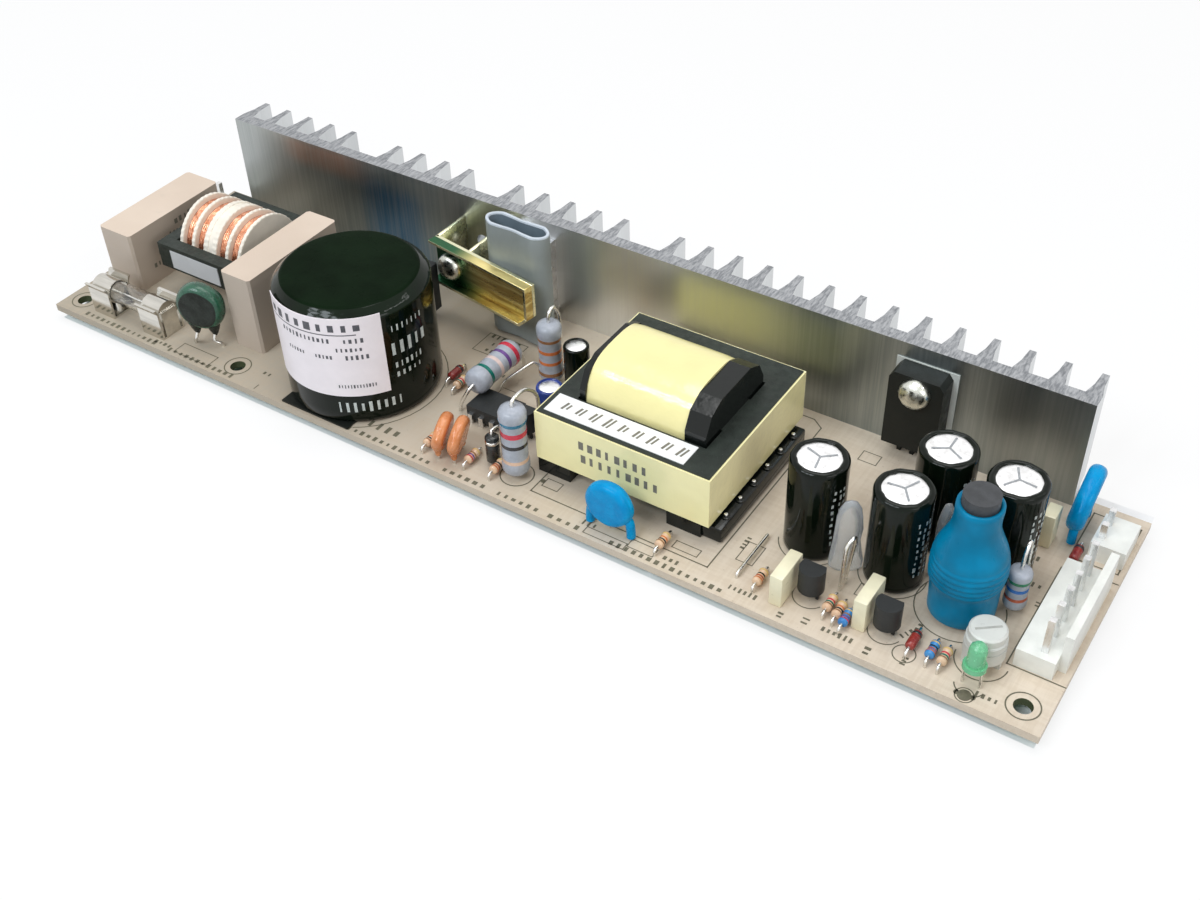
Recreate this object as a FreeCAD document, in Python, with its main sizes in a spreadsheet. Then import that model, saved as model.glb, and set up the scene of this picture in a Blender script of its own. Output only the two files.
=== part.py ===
import FreeCAD, Part
import math
import os
import Sketcher

# Open frame power supply on one long printed board.
# X runs along the board from the mains end to the output end, Y from the open long edge to the
# heatsink, Z up. The origin is the centre of the whole unit's footprint, level with the tips of
# the soldered leads under the board.

os.makedirs("parts", exist_ok=True)
doc = FreeCAD.newDocument("power_supply")
sheet = doc.addObject("Spreadsheet::Sheet", "dims")
Vector = FreeCAD.Vector
Rotation = FreeCAD.Rotation
ALONG_X = Rotation(Vector(0, 1, 0), 90)
ALONG_Y = Rotation(Vector(1, 0, 0), -90)
UPRIGHT = Rotation()
nodes = {}


class Dim:
    """A size in the sheet, or a sum of such sizes: its expression and its present value."""

    def __init__(self, text, number):
        self.text = text
        self.number = number

    def __add__(self, other):
        return combine(self, "+", other, lambda a, b: a + b)

    def __radd__(self, other):
        return combine(other, "+", self, lambda a, b: a + b)

    def __sub__(self, other):
        return combine(self, "-", other, lambda a, b: a - b)

    def __rsub__(self, other):
        return combine(other, "-", self, lambda a, b: a - b)

    def __mul__(self, other):
        return combine(self, "*", other, lambda a, b: a * b)

    def __rmul__(self, other):
        return combine(other, "*", self, lambda a, b: a * b)

    def __truediv__(self, other):
        return combine(self, "/", other, lambda a, b: a / b)

    def __neg__(self):
        return combine(0, "-", self, lambda a, b: a - b)


def text_of(value):
    return value.text if isinstance(value, Dim) else repr(float(value))


def number_of(value):
    return value.number if isinstance(value, Dim) else float(value)


def combine(a, sign, b, rule):
    return Dim("(%s %s %s)" % (text_of(a), sign, text_of(b)), rule(number_of(a), number_of(b)))


rows = []


def size(name, value):
    rows.append(name)
    cell = "B%d" % len(rows)
    sheet.set("A%d" % len(rows), name)
    sheet.set(cell, str(value))
    sheet.setAlias(cell, name)
    return Dim("dims." + name, float(value))


# Board
board_length = size("board_length", 222)
board_width = size("board_width", 55.2)
board_thickness = size("board_thickness", 1.6)
tip_depth = size("tip_depth", 2)
mount_hole_radius = size("mount_hole_radius", 1.6)
end_hole_inset = size("end_hole_inset", 4.3)
edge_hole_inset = size("edge_hole_inset", 4.5)
middle_hole_from_end = size("middle_hole_from_end", 50.1)
pin_side = size("pin_side", 1.1)
wire_side = size("wire_side", 0.6)
joint_radius = size("joint_radius", 0.95)
fine_joint_radius = size("fine_joint_radius", 0.6)

# Heatsink
fin_pitch = size("fin_pitch", 6.55)
fin_root = size("fin_root", 3)
fin_tip = size("fin_tip", 1.3)
fin_depth = size("fin_depth", 6.4)
sink_base = size("sink_base", 2.8)
sink_height = size("sink_height", 23)
sink_start = size("sink_start", 9.1)
screw_radius = size("screw_radius", 1.5)
screw_head_radius = size("screw_head_radius", 2.9)
screw_head_height = size("screw_head_height", 2.1)

# Mains filter
box_length = size("box_length", 26.6)
left_box_thickness = size("left_box_thickness", 9.2)
left_box_height = size("left_box_height", 14)
left_box_x = size("left_box_x", 3.9)
left_box_y = size("left_box_y", 13.4)
right_box_thickness = size("right_box_thickness", 7.8)
right_box_height = size("right_box_height", 18)
right_box_x = size("right_box_x", 44.2)
right_box_y = size("right_box_y", 10.2)
ring_length = size("ring_length", 24.4)
ring_width = size("ring_width", 24)
ring_height = size("ring_height", 5.8)
ring_rail = size("ring_rail", 2.9)
ring_yoke = size("ring_yoke", 3)
ring_leg = size("ring_leg", 4.6)
ring_x = size("ring_x", 17.8)
ring_y = size("ring_y", 16.7)
ring_z = size("ring_z", 6.8)
flange_radius = size("flange_radius", 8.8)
flange_sheet = size("flange_sheet", 0.9)
coil_radius = size("coil_radius", 8.1)
coil_width = size("coil_width", 2.55)
tube_radius = size("tube_radius", 4.5)

# Fuse
fuse_x = size("fuse_x", 20)
fuse_y = size("fuse_y", 5.8)
fuse_z = size("fuse_z", 5.3)
fuse_length = size("fuse_length", 20)
fuse_radius = size("fuse_radius", 2.6)
fuse_glass_radius = size("fuse_glass_radius", 2.4)
fuse_cap_length = size("fuse_cap_length", 5.2)
clip_sheet = size("clip_sheet", 0.45)
clip_length = size("clip_length", 6)
clip_height = size("clip_height", 7.6)

# Round parts of the input stage
disc_radius = size("disc_radius", 5.2)
disc_thickness = size("disc_thickness", 3.8)
bulk_radius = size("bulk_radius", 15.4)
bulk_height = size("bulk_height", 26)
bulk_bevel = size("bulk_bevel", 1)
bulk_shoulder = size("bulk_shoulder", 2.6)
bulk_x = size("bulk_x", 75.1)
bulk_y = size("bulk_y", 15.9)
bulk_pad_thickness = size("bulk_pad_thickness", 0.4)
label_sheet = size("label_sheet", 0.15)

# Clamped transistor
sleeve_width = size("sleeve_width", 15.4)
sleeve_depth = size("sleeve_depth", 5.1)
sleeve_wall = size("sleeve_wall", 0.8)
sleeve_top = size("sleeve_top", 26.5)
sleeve_x = size("sleeve_x", 94.3)
sleeve_y = size("sleeve_y", 44.2)
clamp_length = size("clamp_length", 28)
clamp_height = size("clamp_height", 10)
clamp_sheet = size("clamp_sheet", 0.8)
clamp_lip = size("clamp_lip", 1.5)
clamp_x = size("clamp_x", 73.7)
clamp_z = size("clamp_z", 8)

# Transformer
core_length = size("core_length", 35.6)
core_width = size("core_width", 34.8)
core_height = size("core_height", 11)
core_rail = size("core_rail", 6.6)
core_yoke = size("core_yoke", 4.4)
core_leg = size("core_leg", 10)
core_x = size("core_x", 122.5)
core_y = size("core_y", 9.6)
core_z = size("core_z", 4.5)
tape_sheet = size("tape_sheet", 0.35)
winding_width = size("winding_width", 20.6)
winding_top = size("winding_top", 23)
cheek_sheet = size("cheek_sheet", 1.2)
far_cheek_sheet = size("far_cheek_sheet", 4.3)
cheek_play = size("cheek_play", 0.3)
rail_height = size("rail_height", 4.3)
rail_width = size("rail_width", 7)
transformer_pin_pitch = size("transformer_pin_pitch", 5.1)

# Output stage
can_radius = size("can_radius", 5.15)
can_height = size("can_height", 20)
can_top_radius = size("can_top_radius", 4.1)
rod_radius = size("rod_radius", 3.05)
rod_height = size("rod_height", 26)
rod_from_end = size("rod_from_end", 20.6)
rod_y = size("rod_y", 18.6)
device_width = size("device_width", 10.4)
device_depth = size("device_depth", 4.5)
device_height = size("device_height", 16.4)
device_from_end = size("device_from_end", 48.8)
device_z = size("device_z", 3.2)
device_pad = size("device_pad", 0.2)
header_pitch = size("header_pitch", 3.96)
header_base_height = size("header_base_height", 3.8)
header_depth = size("header_depth", 6.5)
header_wall = size("header_wall", 1.4)
header_wall_height = size("header_wall_height", 8)
header_pin_top = size("header_pin_top", 11)
header_end_gap = size("header_end_gap", 8.9)
knob_radius = size("knob_radius", 3.35)
knob_height = size("knob_height", 3.2)
knob_shaft_radius = size("knob_shaft_radius", 0.9)
knob_clearance = size("knob_clearance", 0.05)
trimmer_from_end = size("trimmer_from_end", 13.3)
trimmer_y = size("trimmer_y", 9.9)
trimmer_foot = size("trimmer_foot", 2.3)
trimmer_height = size("trimmer_height", 4.6)
led_radius = size("led_radius", 1.5)
doc.recompute()

# The near left corner of the board's top face, from which all positions are counted.
corner_x = -(board_length / 2)
corner_y = -((board_width + fin_depth) / 2)
corner_z = tip_depth + board_thickness
sink_front = board_width - sink_base
winding_length = core_length - core_yoke * 2 - cheek_sheet - far_cheek_sheet - cheek_play * 2
rod_x = board_length - rod_from_end
trimmer_x = board_length - trimmer_from_end
device_x = board_length - device_from_end


# General steps

def tie(thing, name, value):
    if isinstance(value, Dim):
        thing.setExpression(name, value.text)
    else:
        setattr(thing, name, value)


def place(thing, x, y, z, turn=UPRIGHT):
    start = Vector(number_of(x), number_of(y), number_of(z))
    thing.Placement = FreeCAD.Placement(start, turn)
    for axis, value in (("x", x), ("y", y), ("z", z)):
        if isinstance(value, Dim):
            thing.setExpression("Placement.Base." + axis, value.text)
    return thing


def sub_part(label, thing, x=0, y=0, z=0, turn=UPRIGHT):
    thing.Label = label
    place(thing, corner_x + x, corner_y + y, corner_z + z, turn)
    nodes[label] = thing
    return thing


def group(label, members, x=0, y=0, z=0):
    thing = doc.addObject("Part::Compound", label)
    thing.Links = members
    return sub_part(label, thing, x, y, z)


def block(x, y, z, length, width, height, turn=UPRIGHT):
    thing = doc.addObject("Part::Box", "block")
    tie(thing, "Length", length)
    tie(thing, "Width", width)
    tie(thing, "Height", height)
    return place(thing, x, y, z, turn)


def round_bar(x, y, z, radius, height, turn=UPRIGHT):
    thing = doc.addObject("Part::Cylinder", "round_bar")
    tie(thing, "Radius", radius)
    tie(thing, "Height", height)
    return place(thing, x, y, z, turn)


def ball(x, y, z, radius):
    thing = doc.addObject("Part::Sphere", "ball")
    tie(thing, "Radius", radius)
    return place(thing, x, y, z)


def fused(members):
    thing = doc.addObject("Part::MultiFuse", "fused")
    thing.Shapes = members
    return thing


def cut(base, tool):
    thing = doc.addObject("Part::Cut", "cut")
    thing.Base = base
    thing.Tool = tool
    return thing


def together(members):
    thing = doc.addObject("Part::Compound", "together")
    thing.Links = members
    return thing


def new_body(name):
    return doc.addObject("PartDesign::Body", name)


def sketch_on(body, plane):
    sketch = body.newObject("Sketcher::SketchObject", "sketch")
    for feature in body.Origin.OriginFeatures:
        if feature.Role == plane:
            sketch.AttachmentSupport = (feature, [""])
    sketch.MapMode = "FlatFace"
    return sketch


def outline(sketch, points):
    first = sketch.GeometryCount
    count = len(points)
    places = [Vector(number_of(x), number_of(y), 0) for x, y in points]
    for i in range(count):
        sketch.addGeometry(Part.LineSegment(places[i], places[(i + 1) % count]), False)
    for i in range(count):
        sketch.addConstraint(Sketcher.Constraint("Coincident", first + i, 2, first + (i + 1) % count, 1))
    for i in range(count):
        for kind, value in (("DistanceX", points[i][0]), ("DistanceY", points[i][1])):
            held = Sketcher.Constraint(kind, -1, 1, first + i, 1, number_of(value))
            index = sketch.addConstraint(held)
            if isinstance(value, Dim):
                sketch.setExpression("Constraints[%d]" % index, value.text)


def rectangle(sketch, x, y, length, width):
    outline(sketch, [(x, y), (x + length, y), (x + length, y + width), (x, y + width)])


def circle(sketch, x, y, radius):
    ring = Part.Circle(Vector(number_of(x), number_of(y), 0), Vector(0, 0, 1), number_of(radius))
    index = sketch.addGeometry(ring, False)
    held = (
        (Sketcher.Constraint("DistanceX", -1, 1, index, 3, number_of(x)), x),
        (Sketcher.Constraint("DistanceY", -1, 1, index, 3, number_of(y)), y),
        (Sketcher.Constraint("Radius", index, number_of(radius)), radius),
    )
    for constraint, value in held:
        number = sketch.addConstraint(constraint)
        if isinstance(value, Dim):
            sketch.setExpression("Constraints[%d]" % number, value.text)


def pad(body, sketch, length, reverse=False):
    feature = body.newObject("PartDesign::Pad", "pad")
    feature.Profile = sketch
    tie(feature, "Length", length)
    feature.Reversed = reverse
    body.Tip = feature
    return feature


def pocket_through(body, sketch):
    """A pocket that cuts to both sides of its sketch."""
    feature = body.newObject("PartDesign::Pocket", "pocket")
    feature.Profile = sketch
    feature.Type = 1
    feature.Midplane = True
    body.Tip = feature
    return feature


def pocket(body, sketch, length, reverse=False):
    feature = body.newObject("PartDesign::Pocket", "pocket")
    feature.Profile = sketch
    tie(feature, "Length", length)
    feature.Reversed = reverse
    body.Tip = feature
    return feature


def turned(name, profile):
    """A body of revolution about its own Z from points (radius, height)."""
    body = new_body(name)
    sketch = sketch_on(body, "XZ_Plane")
    outline(sketch, profile)
    feature = body.newObject("PartDesign::Revolution", "turning")
    feature.Profile = sketch
    feature.ReferenceAxis = (sketch, ["V_Axis"])
    feature.Angle = 360
    body.Tip = feature
    return body


def bevelled_box(name, length, width, height, bevel):
    body = new_body(name)
    sketch = sketch_on(body, "XY_Plane")
    outline(sketch, [
        (bevel, 0), (length - bevel, 0), (length, bevel), (length, width - bevel),
        (length - bevel, width), (bevel, width), (0, width - bevel), (0, bevel),
    ])
    pad(body, sketch, height)
    return body


lead_spots = []


def joint(x, y, radius=joint_radius):
    lead_spots.append((x, y, radius))


def pin(x, y, bottom, top, side=pin_side):
    joint(x, y)
    return block(x - side / 2, y - side / 2, bottom, side, side, top - bottom)


# Leads that go through the board end level with its underside, in the solder of the joint below.
through = -board_thickness
board_pins = []


def through_pin(x, y, top, side=pin_side):
    member = pin(x, y, through, top, side)
    board_pins.append(member)
    return member


def leg(x, y, top, side=wire_side, radius=joint_radius):
    joint(x, y, radius)
    return block(x - side / 2, y - side / 2, 0, side, side, top)


# Heatsink: one straight extrusion, fins on the far side, three fins left out

heatsink = new_body("heatsink")
base = sketch_on(heatsink, "XY_Plane")
sink_length = fin_pitch * 30 + fin_root
rectangle(base, 0, 0, sink_length, sink_base)
pad(heatsink, base, sink_height)
fin_counts = (5, 4, 5, 14)
first_fin = 0
for count in fin_counts:
    profile = sketch_on(heatsink, "XY_Plane")
    left = fin_pitch * first_fin
    middle = left + fin_root / 2
    waist = fin_tip / 2 + (fin_root - fin_tip) * 0.12
    outline(profile, [
        (left, sink_base), (left + fin_root, sink_base), (middle + waist, sink_base + fin_depth * 0.45),
        (middle + fin_tip / 2, sink_base + fin_depth), (middle - fin_tip / 2, sink_base + fin_depth),
        (middle - waist, sink_base + fin_depth * 0.45),
    ])
    fin = pad(heatsink, profile, sink_height)
    row = heatsink.newObject("PartDesign::LinearPattern", "fin_row")
    row.Originals = [fin]
    row.Direction = (profile, ["H_Axis"])
    tie(row, "Length", fin_pitch * (count - 1))
    row.Occurrences = count
    heatsink.Tip = row
    doc.recompute()
    first_fin = first_fin + count + 1
screw_holes = sketch_on(heatsink, "XZ_Plane")
device_screw_x = device_x + device_width / 2
device_screw_z = device_z + device_height - 3.2
clamp_screw_x = clamp_x + 4.8
clamp_screw_z = clamp_z + clamp_height / 2
circle(screw_holes, device_screw_x - sink_start, device_screw_z, screw_radius)
circle(screw_holes, clamp_screw_x - sink_start, clamp_screw_z, screw_radius)
pocket(heatsink, screw_holes, sink_base)
stake_places = [fin_pitch * 2 + fin_root / 2, fin_pitch * 15 + fin_root / 2, fin_pitch * 28 + fin_root / 2]
stake_radius = wire_side
stake_holes = sketch_on(heatsink, "XY_Plane")
for stake_x in stake_places:
    circle(stake_holes, stake_x, sink_base / 2, stake_radius)
pocket(heatsink, stake_holes, 5, True)
sub_part("heatsink", heatsink, sink_start, sink_front, 0)

stakes = []
for stake_x in stake_places:
    stake = round_bar(sink_start + stake_x, sink_front + sink_base / 2, through, stake_radius,
                      board_thickness + 5)
    joint(sink_start + stake_x, sink_front + sink_base / 2)
    board_pins.append(stake)
    stakes.append(stake)
group("heatsink_pins", stakes)

# Mains filter: two box capacitors with the two-winding choke between them

left_box = bevelled_box("left_box", left_box_thickness, box_length, left_box_height, 0.5)
sub_part("left_box_capacitor", left_box, left_box_x, left_box_y, 0)
right_box = bevelled_box("right_box", right_box_thickness, box_length, right_box_height, 0.5)
sub_part("right_box_capacitor", right_box, right_box_x, right_box_y, 0)
for x, y in ((left_box_x + left_box_thickness / 2, left_box_y), (right_box_x + right_box_thickness / 2, right_box_y)):
    joint(x, y + 2)
    joint(x, y + box_length - 2)

ring = new_body("ring")
plan = sketch_on(ring, "XY_Plane")
window = (ring_width - ring_rail * 2 - ring_leg) / 2
rectangle(plan, 0, 0, ring_length, ring_width)
rectangle(plan, ring_yoke, ring_rail, ring_length - ring_yoke * 2, window)
rectangle(plan, ring_yoke, ring_rail + window + ring_leg, ring_length - ring_yoke * 2, window)
pad(ring, plan, ring_height)
sub_part("choke_core", ring, ring_x, ring_y, ring_z)

coil_y = ring_y + ring_width / 2
coil_z = ring_z + ring_height / 2
spool_start = ring_x + ring_yoke + 0.4
spool_length = ring_length - ring_yoke * 2 - 0.8
spool = new_body("spool")
half = sketch_on(spool, "XZ_Plane")
middle_gap = spool_length - flange_sheet * 4 - coil_width * 4
step = flange_sheet + coil_width
points = [(0, 0), (0, flange_radius), (flange_sheet, flange_radius), (flange_sheet, tube_radius)]
points += [(step, tube_radius), (step, flange_radius), (step + flange_sheet, flange_radius),
           (step + flange_sheet, tube_radius), (step * 2, tube_radius), (step * 2, flange_radius)]
far = step * 2 + middle_gap
points += [(far, flange_radius), (far, tube_radius), (far + coil_width, tube_radius),
           (far + coil_width, flange_radius), (far + step, flange_radius), (far + step, tube_radius),
           (far + step + coil_width, tube_radius), (far + step + coil_width, flange_radius),
           (spool_length, flange_radius), (spool_length, 0)]
outline(half, points)
spin = spool.newObject("PartDesign::Revolution", "turning")
spin.Profile = half
spin.ReferenceAxis = (half, ["H_Axis"])
spin.Angle = 360
spool.Tip = spin
bore = sketch_on(spool, "YZ_Plane")
rectangle(bore, -(ring_leg / 2), -(ring_height / 2), ring_leg, ring_height)
pocket_through(spool, bore)
sole = sketch_on(spool, "YZ_Plane")
rectangle(sole, -5, -coil_z, 10, coil_z - tube_radius - 1)
pad(spool, sole, flange_sheet)
far_sole = sketch_on(spool, "YZ_Plane")
far_sole.AttachmentOffset = FreeCAD.Placement(Vector(0, 0, number_of(spool_length - flange_sheet)), UPRIGHT)
far_sole.setExpression("AttachmentOffset.Base.z", (spool_length - flange_sheet).text)
rectangle(far_sole, -5, -coil_z, 10, coil_z - tube_radius - 1)
pad(spool, far_sole, flange_sheet)
sub_part("choke_spool", spool, spool_start, coil_y, coil_z)
for x in (spool_start + 0.45, spool_start + spool_length - 0.45):
    joint(x, coil_y - 4)
    joint(x, coil_y + 4)

coils = []
for offset in (flange_sheet, step + flange_sheet, far, far + step):
    shell = round_bar(spool_start + offset, coil_y, coil_z, coil_radius, coil_width, ALONG_X)
    hole = round_bar(spool_start + offset, coil_y, coil_z, tube_radius + 0.05, coil_width, ALONG_X)
    coils.append(cut(shell, hole))
group("choke_windings", coils)
tag = block(ring_x + 3.7, ring_y - label_sheet, ring_z + 0.6, 14, label_sheet, ring_height - 1.5)
group("choke_label", [tag])

# Fuse: glass tube, two metal caps, the wire inside and two spring clips

fuse_start = fuse_x - fuse_length / 2
glass_length = fuse_length - fuse_cap_length * 2
glass_bore = fuse_glass_radius - 0.5
tube = round_bar(fuse_start + fuse_cap_length, fuse_y, fuse_z, fuse_glass_radius, glass_length, ALONG_X)
hollow = round_bar(fuse_start + fuse_cap_length, fuse_y, fuse_z, glass_bore, glass_length, ALONG_X)
group("fuse_glass", [cut(tube, hollow)])
caps = []
for x in (fuse_start, fuse_start + fuse_length - fuse_cap_length):
    caps.append(round_bar(x, fuse_y, fuse_z, fuse_radius, fuse_cap_length, ALONG_X))
group("fuse_caps", caps)
wire = round_bar(fuse_start + fuse_cap_length, fuse_y, fuse_z, 0.2, glass_length, ALONG_X)
group("fuse_wire", [wire])


def spring_clip(name):
    body = new_body(name)
    bend = sketch_on(body, "YZ_Plane")
    inner = fuse_radius
    outer = inner + clip_sheet
    outline(bend, [
        (-outer, 0), (outer, 0), (outer, clip_height - 1.2), (outer + 0.7, clip_height),
        (inner + 0.5, clip_height), (inner, clip_height - 1.4), (inner, clip_sheet),
        (-inner, clip_sheet), (-inner, clip_height - 1.4), (-inner - 0.5, clip_height),
        (-outer - 0.7, clip_height), (-outer, clip_height - 1.2),
    ])
    pad(body, bend, clip_length)
    stop = sketch_on(body, "YZ_Plane")
    rectangle(stop, -(inner - 0.6), 0, inner * 2 - 1.2, fuse_z + 0.8)
    pad(body, stop, clip_sheet)
    return body


left_clip = spring_clip("left_clip")
place(left_clip, fuse_start - clip_sheet, fuse_y, 0)
right_clip = spring_clip("right_clip")
place(right_clip, fuse_start + fuse_length + clip_sheet, fuse_y, 0, Rotation(Vector(0, 0, 1), 180))
group("fuse_clips", [left_clip, right_clip])
for x in (fuse_start + 2.6, fuse_start + fuse_length - 2.6):
    joint(x, fuse_y - 2.2)
    joint(x, fuse_y + 2.2)

# Inrush disc, bulk capacitor with its pad and label, bridge rectifier behind it

disc_x = 40.3
disc_y = 5.4
disc_z = 9.7
disc_turn = 20
facing = Rotation(Vector(0, 0, 1), disc_turn)
disc = round_bar(disc_x, disc_y, disc_z, disc_radius, disc_thickness, facing.multiply(ALONG_Y))
legs = [disc]
for x, y in ((disc_x - 3.4, disc_y + 0.7), (disc_x + 2.4, disc_y + 2.8)):
    legs.append(leg(x, y, disc_z - 1, 0.9))
group("thermistor", [fused(legs)])

bulk = turned("bulk", [
    (0, 0), (bulk_radius - 0.8, 0), (bulk_radius, 0.8), (bulk_radius, bulk_height - bulk_bevel),
    (bulk_radius - bulk_shoulder * 0.35, bulk_height - bulk_bevel * 0.35),
    (bulk_radius - bulk_shoulder, bulk_height), (0, bulk_height),
])
sub_part("bulk_capacitor", bulk, bulk_x, bulk_y, bulk_pad_thickness)
joint(bulk_x - 5, bulk_y)
joint(bulk_x + 5, bulk_y)
base_pad = block(bulk_x - 9.2, 0.6, 0, 17, bulk_y + bulk_radius - 2, bulk_pad_thickness)
group("bulk_capacitor_pad", [base_pad])
label_z = bulk_pad_thickness + 6.6
label_height = bulk_height - bulk_bevel - 6.9
label_skin = doc.addObject("Part::Cylinder", "label_skin")
tie(label_skin, "Radius", bulk_radius + label_sheet)
tie(label_skin, "Height", label_height)
label_skin.Angle = 97
place(label_skin, bulk_x, bulk_y, label_z, Rotation(Vector(0, 0, 1), -126))
label_core = round_bar(bulk_x, bulk_y, label_z, bulk_radius, label_height)
group("bulk_capacitor_label", [cut(label_skin, label_core)])

bridge_x = bulk_x - 15
bridge = block(bridge_x, 37, 2, 15, 3.8, 11)
bridge_legs = [leg(bridge_x + 1.8 + 3.8 * i, 38.9, 2) for i in range(4)]
group("bridge_rectifier", [fused([bridge] + bridge_legs)])

# Mains connector, low and hidden behind the left box capacitor

inlet_y = left_box_y + box_length + 1.4
inlet_base = block(1.4, inlet_y, 0, 6.6, header_pitch * 2, 3.4)
inlet_pins = [through_pin(4.6, inlet_y + header_pitch * step, 7.6) for step in (0.5, 1.5)]
group("input_connector", [cut(inlet_base, together(inlet_pins))])
group("input_connector_pins", inlet_pins)

# Switching transistor in its sleeve, the bar that clamps it and the block behind it


def flat_tube(width, depth, bottom, height):
    radius = depth / 2
    middle = block(sleeve_x - width / 2 + radius, sleeve_y - radius, bottom, width - depth, depth, height)
    left = round_bar(sleeve_x - width / 2 + radius, sleeve_y, bottom, radius, height)
    right = round_bar(sleeve_x + width / 2 - radius, sleeve_y, bottom, radius, height)
    return fused([middle, left, right])


sleeve_start = 0.6
outer = flat_tube(sleeve_width, sleeve_depth, sleeve_start, sleeve_top - sleeve_start)
inner = flat_tube(sleeve_width - sleeve_wall * 2, sleeve_depth - sleeve_wall * 2, sleeve_start,
                  sleeve_top - sleeve_start)
group("transistor_sleeve", [cut(outer, inner)])
chip_width = sleeve_width - sleeve_depth
chip_depth = sleeve_depth - sleeve_wall * 2
chip = block(sleeve_x - chip_width / 2, sleeve_y - chip_depth / 2, 4, chip_width, chip_depth, 18)
chip_legs = [leg(sleeve_x + offset, sleeve_y, 4, 1) for offset in (-3.6, 0, 3.6)]
group("switching_transistor", [fused([chip] + chip_legs)])
spacer = block(sleeve_x - 6.6, sleeve_y + sleeve_depth / 2, 2.5, 9.6,
               sink_front - sleeve_y - sleeve_depth / 2, 17)
group("transistor_block", [spacer])

# The bar stands off the heatsink on a heel at its left end and slopes forward past the sleeve.
lean = math.radians(9.4)
along = (math.cos(lean), -math.sin(lean))
back = (math.sin(lean), math.cos(lean))
clamp_y = sleeve_y - sleeve_depth / 2 + 1.2


def clamp_point(distance, depth):
    return (along[0] * distance + back[0] * depth, along[1] * distance + back[1] * depth)


clamp = new_body("clamp")
web = sketch_on(clamp, "XY_Plane")
outline(web, [
    (0, 0), clamp_point(clamp_length, 0), clamp_point(clamp_length, clamp_sheet),
    (clamp_sheet, clamp_sheet * 0.85), (clamp_sheet, sink_front - clamp_y), (0, sink_front - clamp_y),
])
pad(clamp, web, clamp_height)
for level in (0, clamp_height - clamp_sheet):
    lip = sketch_on(clamp, "XY_Plane")
    if isinstance(level, Dim):
        lip.AttachmentOffset = FreeCAD.Placement(Vector(0, 0, level.number), UPRIGHT)
        lip.setExpression("AttachmentOffset.Base.z", level.text)
    outline(lip, [(0, 0), (0, -clamp_lip), clamp_point(clamp_length, -clamp_lip), clamp_point(clamp_length, 0)])
    pad(clamp, lip, clamp_sheet)
second_heel = sketch_on(clamp, "XY_Plane")
rectangle(second_heel, 9.2, -1.4, clamp_sheet, sink_front - clamp_y + 1.4)
pad(clamp, second_heel, clamp_height)
end_lip = sketch_on(clamp, "XY_Plane")
outline(end_lip, [
    clamp_point(clamp_length - clamp_sheet, 0), clamp_point(clamp_length - clamp_sheet, -clamp_lip),
    clamp_point(clamp_length, -clamp_lip), clamp_point(clamp_length, 0),
])
pad(clamp, end_lip, clamp_height)
clamp_hole = sketch_on(clamp, "XZ_Plane")
circle(clamp_hole, clamp_screw_x - clamp_x, clamp_height / 2, screw_radius + 0.3)
pocket_through(clamp, clamp_hole)
sub_part("clamp_bracket", clamp, clamp_x, clamp_y, clamp_z)


def pan_screw(x, y, z, reach):
    """Head in front of the face at y, shank to the depth reach behind it."""
    head = round_bar(x, y - screw_head_height, z, screw_head_radius, screw_head_height, ALONG_Y)
    shank = round_bar(x, y, z, screw_radius, reach, ALONG_Y)
    slot_wide = block(x - 1.7, y - screw_head_height, z - 0.3, 3.4, 0.9, 0.6)
    slot_high = block(x - 0.3, y - screw_head_height, z - 1.7, 0.6, 0.9, 3.4)
    return cut(fused([head, shank]), fused([slot_wide, slot_high]))


clamp_head_y = clamp_y - 1.4
group("clamp_screw", [pan_screw(clamp_screw_x, clamp_head_y, clamp_screw_z, board_width - clamp_head_y - 0.3)])

# Control circuit: eight pin package, power resistors and the small parts around them

ic_x = 101.2
ic_y = 15.2
package = block(ic_x, ic_y, 0.8, 9.6, 6.4, 3)
group("control_package", [package])
ic_pins = []
for i in range(4):
    x = ic_x + 1 + 2.54 * i
    for y, reach in ((ic_y - 0.5, 0.5), (ic_y + 6.4, 0.5)):
        stub = block(x - 0.5, y, 0, 1, reach, 2.2)
        joint(x, y + reach / 2)
        ic_pins.append(stub)
group("control_package_pins", ic_pins)

resistor_bodies = []
resistor_leads = []


def standing_resistor(x, y, radius, height, drop_x, drop_y, rise):
    """An upright body whose top lead runs level to a point beside it and down to the board."""
    top = height + rise
    body = round_bar(x, y, 1.2, radius, height - 1.2)
    stem = leg(x, y, top, 0.8)
    half = 0.4
    if abs(drop_x) > abs(drop_y):
        level = block(min(x, x + drop_x) - half, y - half, top - 0.8, abs(drop_x) + 0.8, 0.8, 0.8)
    else:
        level = block(x - half, min(y, y + drop_y) - half, top - 0.8, 0.8, abs(drop_y) + 0.8, 0.8)
    drop = leg(x + drop_x, y + drop_y, top, 0.8)
    wire = fused([stem, level, drop])
    resistor_leads.append(wire)
    resistor_bodies.append(cut(body, stem))


standing_resistor(108.3, 33.8, 2.5, 14.5, 0, 3.6, 2.6)
standing_resistor(118.7, 7.3, 2.6, 16.2, 0, 8, 1.6)
standing_resistor(board_length - 13.2, 23, 1.95, 9.6, 0, 3.4, 3.6)
flat_x = 100.9
flat_y = 18.3
flat_z = 6.6
flat_body = round_bar(flat_x, flat_y, flat_z, 2.65, 13.4, ALONG_Y)
flat_wire = block(flat_x - 0.4, flat_y - 1.8, flat_z - 0.4, 0.8, 17, 0.8)
flat_sole = block(flat_x - 3.2, flat_y - 1.8, 0.9, 3.3, 0.8, 0.8)
flat_ends = [block(flat_x - 0.7, flat_y - 1.8, 0.9, 0.8, 0.8, flat_z - 0.9), flat_sole,
             leg(flat_x - 2.8, flat_y - 1.4, 1.7, 0.8), leg(flat_x, flat_y + 14.8, flat_z, 0.8)]
resistor_bodies.append(cut(flat_body, flat_wire))
resistor_leads.append(fused([flat_wire] + flat_ends))
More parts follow.
